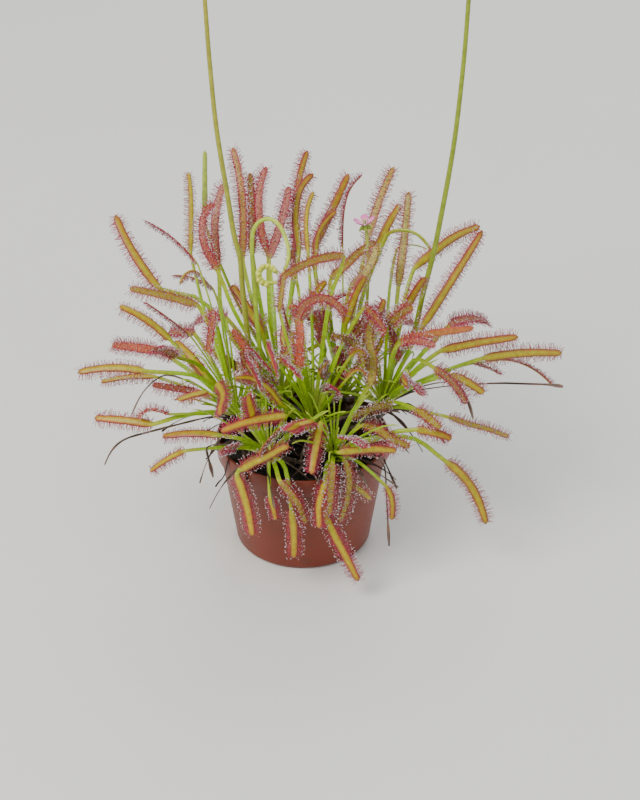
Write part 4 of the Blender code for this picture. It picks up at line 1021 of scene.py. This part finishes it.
def inner_leaves(rng):
    """Shorter leaves that fill the clump between the ones that were listed one by one."""
    for crown, count in INNER_LEAVES.items():
        foot = np.array((*CROWNS[crown][0], PEAT_LEVEL))
        head = np.array(CROWNS[crown][1], dtype=float)
        for k in range(count):
            angle = 2 * math.pi * (k + rng.uniform(0.2, 0.8)) / count
            rise = math.radians(rng.uniform(*INNER_RISE))
            way = np.array((math.cos(angle) * math.cos(rise), math.sin(angle) * math.cos(rise),
                            math.sin(rise)))
            neck = head + way * rng.uniform(*INNER_NECK)
            tip = neck + unit(way + rng.normal(0, 0.35, 3)) * rng.uniform(*INNER_BLADE)
            kind = ("grown", "grown", "slim", "young")[k % 4]
            blade = blade_line(neck, tip, rng.uniform(-70, 70), LEAF_KINDS[kind]["curl"])
            petiole = petiole_line(head, foot, None, neck, unit(blade[1] - blade[0]))
            yield {"owner": crown, "kind": kind, "face": (10, 165)[k % 2] + rng.uniform(-15, 15),
                   "line": np.vstack((petiole, blade[1:]))}


rng = np.random.default_rng(LEAF_SEED)
inner = list(inner_leaves(rng))
make_room(inner, standing + [(leaf["owner"], leaf["line"], INNER_ROOM) for leaf in all_leaves])
all_leaves += inner
for leaf in all_leaves:
    leaf["frames"] = fine_frames(leaf)
    leaf["flush"] = rng.uniform(*FLUSH[leaf["kind"]])
    if leaf["flush"] <= SALMON_ABOVE:
        leaf["flush"] = min(SALMON_ABOVE, leaf["flush"] + REDDER.get(leaf["owner"], 0.0))
    leaf["light"] = rng.uniform(0.85, 1.12)
    leaf["phase"] = rng.uniform(0, 6.3)
for crown, (foot_place, head_place) in CROWNS.items():
    foot = np.array((*foot_place, PEAT_LEVEL), dtype=float)
    head = np.array(head_place, dtype=float)
    bodies = [(stem_points(foot, head), skin(STEM_RINGS, STEM_SIDES), STEM_BARK)]
    bodies += [leaf_body(leaf) for leaf in all_leaves if leaf["owner"] == crown]
    piece = mesh_piece(crown.replace("rosette", "leaves"), bodies, leaf_skin)
    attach(piece, "root")
    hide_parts(crown)


# New shoots and withered leaves
# Each crown pushes up thin new petioles, some still coiled at the tip, and keeps the dry black
# leaves of other years round its foot, where they hang over the peat and the rim.
SHOOTS = 21
SHOOT_LENGTH = (20.0, 50.0)
SHOOT_RADIUS = 0.78
# Degrees that a shoot leans out, the share of shoots with a coiled tip, and how far in degrees a
# coiled or a plain tip turns
SHOOT_LEAN = (8, 55)
COILED_SHARE = 0.3
COILED_TURN = (160, 300)
PLAIN_TURN = (-10, 25)
SHOOT_RINGS = 14
SHOOT_SIDES = 6
SKIRTS = 17
SKIRT_LENGTH = (15.0, 42.0)
SKIRT_HALF = 1.25
SKIRT_HALF_DEPTH = 0.22
SKIRT_RINGS = 16
SHOOT_SEED = 61


def shoot_body(head, axis, angle, rng):
    """A thin new petiole that rises from the crown and leans out, its tip coiled or straight."""
    length = rng.uniform(*SHOOT_LENGTH)
    lean = math.radians(rng.uniform(*SHOOT_LEAN))
    out = np.array((math.cos(angle), math.sin(angle), 0.0))
    coiled = rng.uniform() < COILED_SHARE
    coil = math.radians(rng.uniform(*(COILED_TURN if coiled else PLAIN_TURN)))
    steps = np.linspace(0, 1, 40)
    tilt = lean + 0.35 * steps + coil * np.clip((steps - 0.8) / 0.2, 0, 1)
    run = length * np.gradient(steps)[:, None]
    rise = np.cos(tilt)[:, None] * np.array((0, 0, 1.0))
    root = head - axis * rng.uniform(0.5, 5.0) + out * 1.5
    line = root + np.cumsum(run * (np.sin(tilt)[:, None] * out + rise), axis=0)
    clear_of_pot(line, np.full(len(line), 1.0))
    line = smooth_line(line[::3], SHOOT_RINGS)
    shares = np.linspace(0, 1, SHOOT_RINGS)
    radii = SHOOT_RADIUS * rng.uniform(0.8, 1.2) * (1 - 0.45 * shares)
    radii[-1] *= 0.3
    tint = mixed(PETIOLE_FOOT, PETIOLE_GREEN, shares * 2)
    tint = mixed(tint, PALE_GREEN, (shares - 0.6) * 2) * rng.uniform(0.8, 1.15)
    return (ring_run(line, radii, SHOOT_SIDES), skin(SHOOT_RINGS, SHOOT_SIDES),
            tint.repeat(SHOOT_SIDES, 0))


def skirt_body(foot, head, angle, rng):
    """A dry leaf: a thin twisted ribbon that droops from the stem, on the peat or over the rim."""
    length = rng.uniform(*SKIRT_LENGTH)
    out = np.array((math.cos(angle), math.sin(angle), 0.0))
    start = foot + (head - foot) * rng.uniform(0.3, 0.95)
    droop = rng.uniform(0.5, 1.0)
    s = np.linspace(0, 1, 24)[:, None]
    side = np.array((-out[1], out[0], 0.0)) * rng.uniform(-0.4, 0.4)
    line = (start + (out + side * s) * length * s**0.9
            + np.array((0, 0, 1.0)) * length * (0.35 * s - droop * s * s))
    clear_of_pot(line, np.full(len(line), 1.1))
    line = smooth_line(line[::2], SKIRT_RINGS)
    ways = np.gradient(line, axis=0)
    ways /= np.linalg.norm(ways, axis=1)[:, None]
    across = np.cross(ways, (0.0, 0.0, 1.0)) + 1e-6
    across /= np.linalg.norm(across, axis=1)[:, None]
    up = np.cross(across, ways)
    turn = rng.uniform(0, 6.3) + np.linspace(0, rng.uniform(1, 5), SKIRT_RINGS)
    wide = across * np.cos(turn)[:, None] + up * np.sin(turn)[:, None]
    thick = up * np.cos(turn)[:, None] - across * np.sin(turn)[:, None]
    shares = np.linspace(0, 1, SKIRT_RINGS)
    half = (SKIRT_HALF * rng.uniform(0.6, 1.3) * (1 - 0.6 * shares**2)
            * (1 + 0.3 * np.sin(shares * 17 + angle)))
    wide *= half[:, None]
    thick *= SKIRT_HALF_DEPTH
    rings = np.stack((line - wide, line + thick, line + wide, line - thick), axis=1)
    grey = rng.uniform(-0.2, 0.7) + 0.3 * np.sin(shares * 9 + angle)
    tint = mixed(WITHERED, WITHERED_GREY, grey)
    return rings.reshape(-1, 3), skin(SKIRT_RINGS, 4), tint.repeat(4, 0)


# Dry leaf: papery and matt, black with mould and brown where it still has fibre, in flecks under
# 2 mm wide
dry_leaf, tree, shader = material("withered_leaf", "#3A271D", 0.8, 1.45)
_, relief = tinted(tree, shader, spot=1.67, detail=6.0, low=0.5, high=1.5)
bump = add_node(tree, "ShaderNodeBump", {"Strength": 0.6, "Distance": 0.5 * MM},
                {"Height": relief})
tree.links.new(bump.outputs["Normal"], shader.inputs["Normal"])

rng = np.random.default_rng(SHOOT_SEED)
for crown, (foot_place, head_place) in CROWNS.items():
    foot = np.array((*foot_place, PEAT_LEVEL), dtype=float)
    head = np.array(head_place, dtype=float)
    axis = unit(head - foot)
    turns = 2 * np.pi * (np.arange(SHOOTS) + rng.uniform(0, 1, SHOOTS)) / SHOOTS
    piece = mesh_piece(crown.replace("rosette", "shoots"),
                       [shoot_body(head, axis, a, rng) for a in turns], leaf_skin)
    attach(piece, "root")
    turns = 2 * np.pi * (np.arange(SKIRTS) + rng.uniform(0, 1, SKIRTS)) / SKIRTS
    piece = mesh_piece(crown.replace("rosette", "withered"),
                       [skirt_body(foot, head, a, rng) for a in turns], dry_leaf)
    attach(piece, "root")


# Tentacles and their drops
# Red hairs stand all over each blade's upper face, longest along its edges, and each ends in a
# crimson gland inside a clear drop of sticky mucilage. They are part of the leaf.
TENTACLE_RADIUS = 0.14
GLAND_RADIUS = 0.2
DROP_RADIUS = 0.33
# Where along its reach a long or a short hair has a ring of points
LONG_HAIR = (0.0, 0.5, 0.92)
SHORT_HAIR = (0.0, 0.92)
# Rows of hairs: place across the half width, spacing along the blade, reach, degrees up from the
# blade's plane, and the kind of hair
TENTACLE_ROWS = (
    (1.0, 0.75, 3.2, 16, LONG_HAIR),
    (0.93, 1.4, 2.5, 40, LONG_HAIR),
    (0.72, 1.8, 1.7, 60, SHORT_HAIR),
    (0.36, 2.1, 1.3, 78, SHORT_HAIR),
    (0.0, 3.0, 1.1, 90, SHORT_HAIR),
)
# Share of a hair's reach on a slim or young leaf, and of its bend that shows at its end
YOUNG_REACH = 0.8
HAIR_BEND = 0.6
HAIR_PINK = colour("#B83A55")
HAIR_RED = colour("#A01C3E")
GLAND_CRIMSON = colour("#8C1230")
# A drop on a short hair: six points, at the ends of its three axes
SMALL_LUMP = np.array([(1.0, 0, 0), (-1, 0, 0), (0, 1, 0), (0, -1, 0), (0, 0, 1), (0, 0, -1)])
SMALL_LUMP_FACES = np.array([
    (0, 2, 4), (2, 1, 4), (1, 3, 4), (3, 0, 4), (2, 0, 5), (1, 2, 5), (3, 1, 5), (0, 3, 5)])
TENTACLE_SEED = 41


def tentacles_of(leaf, rng):
    """The rows of one blade: each tentacle's foot, direction, bend and reach, and its rings."""
    frames = leaf["frames"]
    kind = LEAF_KINDS[leaf["kind"]]
    neck = frames["neck"]
    blade = frames["length"] * (1 - neck)
    for place_across, spacing, reach, tilt, hair_rings in TENTACLE_ROWS:
        for hand in ((1, -1) if place_across else (1,)):
            shares = np.arange(0.04 * blade, 0.99 * blade, spacing) / blade
            shares += rng.normal(0, 0.25 * spacing / blade, len(shares))
            shares = np.clip(shares, 0.03, 0.995)
            places, ways, normals, sides = along(frames, neck + (1 - neck) * shares)
            half = blade_half(kind, shares)
            height = np.interp(place_across, (0, 0.4, 0.82, 1.0), (-0.2, -0.18, -0.02, -0.1))
            height *= CHANNEL + LEAF_DEPTH
            feet = places + sides * (hand * place_across * half)[:, None] + normals * height
            lift = np.radians(tilt + rng.normal(0, 11, len(shares)))
            lean = rng.normal(0.12, 0.22, len(shares))
            near_tip = np.clip((shares - 0.95) / 0.05, 0, 1) * 1.2
            out = sides * (hand * np.cos(lift))[:, None] + normals * np.sin(lift)[:, None]
            out = out + ways * (lean + near_tip)[:, None]
            out /= np.linalg.norm(out, axis=1)[:, None]
            reaches = (reach * rng.uniform(0.72, 1.12, len(shares))
                       * np.interp(shares, (0, 0.1, 0.9, 1), (0.5, 1, 1, 0.8)))
            reaches *= YOUNG_REACH if leaf["kind"] in ("young", "slim") else 1.0
            bends = (normals * rng.uniform(0.0, 0.5, len(shares))[:, None]
                     + ways * rng.normal(0, 0.15, len(shares))[:, None])
            yield feet, out, bends, reaches, hair_rings


def tentacle_row(feet, out, bends, reaches, hair_rings, flush):
    """A row of hairs with their glands, and the ends they reach."""
    count = len(feet)
    across = np.cross(out, (0.31, 0.55, 0.77))
    across /= np.linalg.norm(across, axis=1)[:, None]
    other = np.cross(out, across)
    turns = 2 * np.pi * np.arange(3) / 3
    ring = (across[:, None] * np.cos(turns)[None, :, None]
            + other[:, None] * np.sin(turns)[None, :, None])
    foot_tint = mixed(FACE_GREEN, HAIR_PINK, np.array(0.35 + flush))
    stalk, tints = [], []
    for t in hair_rings:
        middle = feet + (out * t + bends * t * t * HAIR_BEND) * reaches[:, None]
        stalk.append(middle[:, None] + ring * TENTACLE_RADIUS * (1.3 - 0.75 * t))
        tints.append(np.broadcast_to(mixed(foot_tint, HAIR_RED, np.array(t)), (count, 3, 3)))
    ends = feet + (out + bends * HAIR_BEND) * reaches[:, None]
    aim = out + bends
    aim /= np.linalg.norm(aim, axis=1)[:, None]
    gland = np.concatenate((
        (ends - aim * GLAND_RADIUS * 1.6)[:, None], ends[:, None] + ring * GLAND_RADIUS,
        (ends + aim * GLAND_RADIUS * 1.2)[:, None]), axis=1)
    tints.append(np.broadcast_to(GLAND_CRIMSON, (count, 5, 3)))
    points = np.concatenate((*stalk, gland), axis=1)
    quads = np.array([(i + k, (i + 1) % 3 + k, (i + 1) % 3 + k + 3, i + k + 3)
                      for k in range(0, 3 * len(hair_rings) - 3, 3) for i in range(3)])
    low = 3 * len(hair_rings)
    caps = np.array([(low, low + 1 + (i + 1) % 3, low + 1 + i) for i in range(3)]
                    + [(low + 4, low + 1 + i, low + 1 + (i + 1) % 3) for i in range(3)])
    starts = (np.arange(count) * points.shape[1])[:, None, None]
    faces = [(quads[None] + starts).reshape(-1, 4), (caps[None] + starts).reshape(-1, 3)]
    return (points.reshape(-1, 3), faces, np.concatenate(tints, axis=1).reshape(-1, 3)), ends


# Tentacle: a thin wet red hair, its gland darker. It is paler and darker by turns, in spots wider
# than a hair, so that they show.
hair, tree, shader = material("tentacle_hair", "#A8303F", 0.3, 1.42)
tinted(tree, shader, spot=1.43, detail=2.0, low=0.75, high=1.35)

# Mucilage: a clear, thick, watery drop, half see-through. Its pale pink-white colour is a painted
# reflection of bright sky on the drop's skin, a little weaker on some leaves than on others
mucilage, tree, shader = material("mucilage_drop", "#F7ECF1", 0.04, 1.36)
painted_sheen_patches, _ = mottle(tree, spot=3.33, detail=2.0, low=0.88, high=1.0)
# Painted reflection: this pale pink-white stands for the sky on the drop, weaker in some patches
clear = add_node(tree, "ShaderNodeVectorMath", {"operation": "SCALE", 0: colour("#FAF0F4")},
                 {"Scale": painted_sheen_patches})
tree.links.new(clear.outputs["Vector"], shader.inputs["Base Color"])
shader.inputs["Transmission Weight"].default_value = 0.5

rng = np.random.default_rng(TENTACLE_SEED)
for crown in CROWNS:
    hairs, drop_places = [], {LONG_HAIR: [], SHORT_HAIR: []}
    for leaf in all_leaves:
        if leaf["owner"] != crown or not LEAF_KINDS[leaf["kind"]]["tentacles"]:
            continue
        for row in tentacles_of(leaf, rng):
            body, ends = tentacle_row(*row, leaf["flush"])
            hairs.append(body)
            drop_places[row[-1]].append(ends)
    piece = mesh_piece(crown.replace("rosette", "tentacles"), hairs, hair)
    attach(piece, "root")
    drops = []
    for hair_rings, lump, lump_faces in ((LONG_HAIR, LUMP, LUMP_FACES),
                                         (SHORT_HAIR, SMALL_LUMP, SMALL_LUMP_FACES)):
        places = np.concatenate(drop_places[hair_rings])
        sizes = DROP_RADIUS * rng.uniform(0.7, 1.15, len(places))
        drop_points, drop_faces = scattered(lump, lump_faces, places, sizes, rng)
        drops.append((drop_points, [drop_faces], (1, 1, 1)))
    piece = mesh_piece(crown.replace("rosette", "drops"), drops, mucilage)
    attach(piece, "root")


# Flower stalks
# Smooth wiry scapes, round and solid, that rise well over the leaves. Each ends in a one-sided row
# of buds on short stalks, coiled over while it is young.
SCAPE_RADIUS = 1.15
SCAPE_STOUT = {
    "scape_tall_right": 1.4, "scape_tall_left": 1.4, "scape_young": 1.25, "scape_flower": 1.0,
}
SCAPE_TAPER = 0.35
SCAPE_RINGS = 90
SCAPE_SIDES = 12
# How many buds each stalk carries along its last stretch, and the share of the stalk's length, or
# of the young one's roll, that they take
BUDS = {
    "scape_tall_right": (7, 0.15),
    "scape_tall_left": (7, 0.15),
    "scape_young": (18, 0.72),
    "scape_flower": (0, 0.0),
}
# A bud's rings: share of its length and of its radius, thin where it sits on its own stalk
BUD_LENGTH = 5.5
BUD_RADIUS = 1.5
BUD_STALK_RADIUS = 0.5
BUD_RINGS = (
    (-0.11, 0.30), (0.0, 0.34), (0.1, 0.5), (0.25, 0.82), (0.45, 1.0), (0.65, 0.92), (0.82, 0.6),
    (0.94, 0.28), (1.0, 0.06),
)
BUD_SIDES = 10
BUD_TIP = colour("#E4DC6A")
# The young stalk's last stretch is a tight roll with small buds on its outside: how far each place
# lies to the right of the stalk's end and up from it, as seen by the eye. The roll starts so far
# from that end, and each place is so much nearer to the eye than the last.
ROLLED_TIP = ((6.9, -2.2), (3.2, -4.0), (-0.7, -3.8), (-3.5, -1.5), (-3.5, 1.7), (-1.1, 3.8),
              (2.2, 3.4), (3.9, 1.3))
ROLL_ROOM = 9.0
ROLL_NEARING = 0.25
ROLL_POINTS = 60
YOUNG_BUD = 0.62
# The cup under the open flower with the pistil in its middle, as heights above the stalk's end and
# radii, and its five sepals
CUP = ((-1.2, 0.7), (0.2, 1.1), (1.5, 1.9), (2.0, 1.85), (2.2, 0.8), (3.4, 0.8), (4.4, 0.75),
       (5.0, 0.2))
CUP_SIDES = 16
CUP_GREEN = colour("#7F9A2E")
SEPALS = 5
SEPAL_LENGTH = 3.4
SEPAL_RADII = (0.75, 0.95, 1.0, 0.95, 0.85, 0.65, 0.4, 0.1)
SEPAL_SIDES = 8
SEPAL_GREEN = colour("#8FA63A")
SCAPE_TINTS = {
    "scape_tall_right": (colour("#7F8F22"), colour("#8C9A2A")),
    "scape_tall_left": (colour("#8E9A30"), colour("#A39A3A")),
    "scape_young": (colour("#8FB81C"), colour("#C6D648")),
    "scape_flower": (colour("#8DAA2C"), colour("#9AA640")),
}

# Scape: the same waxy green skin as a leaf, drawn out smooth, with pale and dark spots 3 mm wide
stalk_skin, tree, shader = material("scape_skin", "#8C9A2A", 0.36, 1.42)
_, relief = tinted(tree, shader, spot=2.86, detail=5.0, low=0.82, high=1.18)
shader.inputs["Subsurface Weight"].default_value = 0.12
shader.inputs["Subsurface Radius"].default_value = SAP_GLOW
shader.inputs["Subsurface Scale"].default_value = 1.0 * MM
bump = add_node(tree, "ShaderNodeBump", {"Strength": 0.15, "Distance": 0.2 * MM},
                {"Height": relief})
tree.links.new(bump.outputs["Normal"], shader.inputs["Normal"])


def bud_at(place, aim, size, low, high):
    """A pointed bud on its short stalk, its sepals pressed together in five shallow ribs."""
    shares = np.array([share for share, _ in BUD_RINGS])
    radii = BUD_RADIUS * np.array([share for _, share in BUD_RINGS])
    radii[:2] = BUD_STALK_RADIUS
    points = ring_run(place + np.outer(shares * size, aim), radii, BUD_SIDES)
    rings = points.reshape(len(shares), BUD_SIDES, 3)
    middle = rings.mean(1, keepdims=True)
    ribs = np.where(np.arange(BUD_SIDES) % 2, 0.88, 1.04)[None, :, None]
    rings = middle + (rings - middle) * ribs
    tints = mixed(low, high, shares[:, None].repeat(BUD_SIDES, 1))
    return rings.reshape(-1, 3), skin(len(shares), BUD_SIDES), tints.reshape(-1, 3)


for name, route in scape_lines.items():
    count, part = BUDS[name]
    bud_length = BUD_LENGTH
    if name == "scape_young":
        roll = [route[-1] + seen(right, up, ROLL_NEARING * k) - seen(0, 0, 0)
                for k, (right, up) in enumerate(ROLLED_TIP)]
        outside = np.linalg.norm(route - route[-1], axis=1) > ROLL_ROOM
        route = np.vstack((route[outside], roll))
        part *= np.linalg.norm(np.diff(roll, axis=0), axis=1).sum()
        part /= np.linalg.norm(np.diff(route, axis=0), axis=1).sum()
        route = smooth_line(route, ROLL_POINTS)
        bud_length *= YOUNG_BUD
    line = smooth_line(route, SCAPE_RINGS)
    shares = np.linspace(0, 1, SCAPE_RINGS)
    radii = SCAPE_RADIUS * SCAPE_STOUT[name] * (1 - SCAPE_TAPER * shares)
    low, high = SCAPE_TINTS[name]
    tints = mixed(low, high, shares[:, None].repeat(SCAPE_SIDES, 1)).reshape(-1, 3)
    bodies = [(ring_run(line, radii, SCAPE_SIDES), skin(SCAPE_RINGS, SCAPE_SIDES), tints)]
    for k in range(count):
        where = (1 - part * k / max(1, count - 1)) * (len(route) - 1)
        spot = min(int(where), len(route) - 2)
        place = route[spot] + (where - spot) * (route[spot + 1] - route[spot])
        way = unit(route[spot + 1] - route[spot])
        bend = route[max(0, spot - 2)] + route[min(len(route) - 1, spot + 3)] - 2 * route[spot]
        outer = -bend + way * np.dot(bend, way)
        outer = unit(outer + 1e-6) if np.linalg.norm(outer) > 1e-3 else TOWARD_EYE
        across = np.cross(way, outer)
        aim = unit(outer + across * (0.75 if k % 2 else -0.75) + way * 0.5)
        size = bud_length * (0.65 + 0.35 * k / max(1, count - 1))
        bodies.append(bud_at(place, aim, size, high, mixed(high, BUD_TIP, np.array(0.6))))
    if name == "scape_flower":
        top = route[-1]
        way = unit(unit(route[-1] - route[-2]) + 0.5 * TOWARD_EYE)
        across = unit(np.cross(way, (1.0, 0.0, 0.0)))
        other = np.cross(way, across)
        heights, radii = zip(*CUP)
        bodies.append((ring_run(top + np.outer(heights, way), radii, CUP_SIDES),
                       skin(len(CUP), CUP_SIDES), mixed(high, CUP_GREEN, np.array(0.5))))
        for k in range(SEPALS):
            a = 2 * math.pi * (k + 0.5) / SEPALS
            out = across * math.cos(a) + other * math.sin(a)
            base = top + way * 1.2 + out * 1.1
            tip = base + (out * 0.75 - way * 0.5) * SEPAL_LENGTH
            line = smooth_line([base, (base + tip) / 2 + way * 0.25, tip], len(SEPAL_RADII))
            bodies.append((ring_run(line, SEPAL_RADII, SEPAL_SIDES),
                           skin(len(SEPAL_RADII), SEPAL_SIDES), SEPAL_GREEN))
    piece = mesh_piece(name + "_stalk", bodies, stalk_skin)
    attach(piece, "root")
    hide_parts(name)


# Petals and stamens
# The one open flower has five broad, thin, bright pink petals that stand on a pale collar. In its
# middle are five stamens with yellow anthers.
PETALS = 5
PETAL_LENGTH = 5.0
PETAL_WIDTH = 4.0
PETAL_THICKNESS = 0.35
PETAL_ROWS = 9
PETAL_COLUMNS = 12
# The collar: its middle above the cup's floor, the radius of its ring and its own, and its sides
COLLAR_HEIGHT = 0.4
COLLAR_RADIUS = 1.65
COLLAR_HALF = 0.4
COLLAR_STEPS = 24
COLLAR_SIDES = 8
FLOOR_HEIGHT = 2.5
STAMEN_RADIUS = 0.12
ANTHER_HALF = 0.35
ANTHER_RADII = (0.1, 0.3, 0.3, 0.1)
COLLAR_PALE = colour("#F3D9E4")
PETAL_PALE = colour("#F4B4D8")
PETAL_PINK = colour("#E661B0")
STAMEN_WHITE = colour("#F6E9EE")
ANTHER_YELLOW = colour("#E8C63A")

# Petal: thin silky tissue, brighter towards its rim. Its faint grain is drawn 1.1 mm wide, coarser
# than real cells, so that it shows.
silk, tree, shader = material("petal_tissue", "#E06AA8", 0.5, 1.4)
tinted(tree, shader, spot=1.11, detail=4.0, low=0.88, high=1.12)
shader.inputs["Subsurface Weight"].default_value = 0.25
shader.inputs["Subsurface Scale"].default_value = 1.0 * MM

floor = top + way * FLOOR_HEIGHT
turns = np.linspace(0, 2 * np.pi, COLLAR_STEPS, endpoint=False)[:, None]
small = (2 * np.pi * np.arange(COLLAR_SIDES) / COLLAR_SIDES)[:, None]
collar_out = (across * np.cos(turns) + other * np.sin(turns))[:, None]
collar = (floor + way * COLLAR_HEIGHT + collar_out * COLLAR_RADIUS
          + COLLAR_HALF * (collar_out * np.cos(small) + way * np.sin(small)))
index = np.arange(COLLAR_STEPS * COLLAR_SIDES).reshape(COLLAR_STEPS, COLLAR_SIDES)
beside = np.roll(index, -1, 1)
collar_faces = np.stack((np.roll(index, -1, 0), np.roll(beside, -1, 0), beside, index), axis=-1)
bodies = [(collar.reshape(-1, 3), [collar_faces.reshape(-1, 4)], COLLAR_PALE)]
for k in range(PETALS):
    a = 2 * math.pi * k / PETALS
    out = across * math.cos(a) + other * math.sin(a)
    side = np.cross(way, out)
    aim = unit(out + way * 0.55)
    base = floor + way * 0.3 + out * 1.5
    t = np.linspace(0, 1, PETAL_ROWS)[:, None]
    u = np.linspace(-1, 1, PETAL_COLUMNS)[None]
    wide = PETAL_WIDTH / 2 * np.interp(t, (0, 0.3, 0.65, 0.9, 1), (0.32, 0.8, 1.0, 0.85, 0.55))
    reach = PETAL_LENGTH * t * (1 - 0.1 * u * u * t)
    cupped = 0.35 * (u * u) * np.sin(np.pi * t) + 0.5 * t * t + 0.1 * np.sin(7 * u + k) * t
    sheet = base + aim * reach[..., None] + side * (wide * u)[..., None] + way * cupped[..., None]
    both = np.concatenate((sheet.reshape(-1, 3), sheet.reshape(-1, 3) - way * PETAL_THICKNESS))
    grid = np.arange(PETAL_ROWS * PETAL_COLUMNS).reshape(PETAL_ROWS, PETAL_COLUMNS)
    front = np.stack((grid[:-1, :-1], grid[:-1, 1:], grid[1:, 1:], grid[1:, :-1]), -1)
    front = front.reshape(-1, 4)
    rim = np.concatenate((grid[0, :-1], grid[:-1, -1], grid[-1, :0:-1], grid[:0:-1, 0]))
    edge = np.stack((rim, rim + grid.size, np.roll(rim, -1) + grid.size, np.roll(rim, -1)), -1)
    faces = [front[:, ::-1], front + grid.size, edge[:, ::-1]]
    shade = mixed(PETAL_PALE, PETAL_PINK, np.repeat(t, PETAL_COLUMNS, 1).reshape(-1))
    bodies.append((both, faces, np.concatenate((shade, shade * 0.9))))
for k in range(PETALS):
    a = 2 * math.pi * (k + 0.5) / PETALS
    out = across * math.cos(a) + other * math.sin(a)
    stamen = smooth_line([floor + out * 0.7, floor + out * 1.2 + way * 2.0,
                          floor + out * 1.0 + way * 3.0], 6)
    bodies.append((ring_run(stamen, (STAMEN_RADIUS,) * 6, 5), skin(6, 5), STAMEN_WHITE))
    anther = stamen[-1] + np.outer(np.linspace(-ANTHER_HALF, ANTHER_HALF, 4), out)
    bodies.append((ring_run(anther, ANTHER_RADII, 6), skin(4, 6), ANTHER_YELLOW))
flower = mesh_piece("petals", bodies, silk)
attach(flower, "root")
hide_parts("flower_petals")
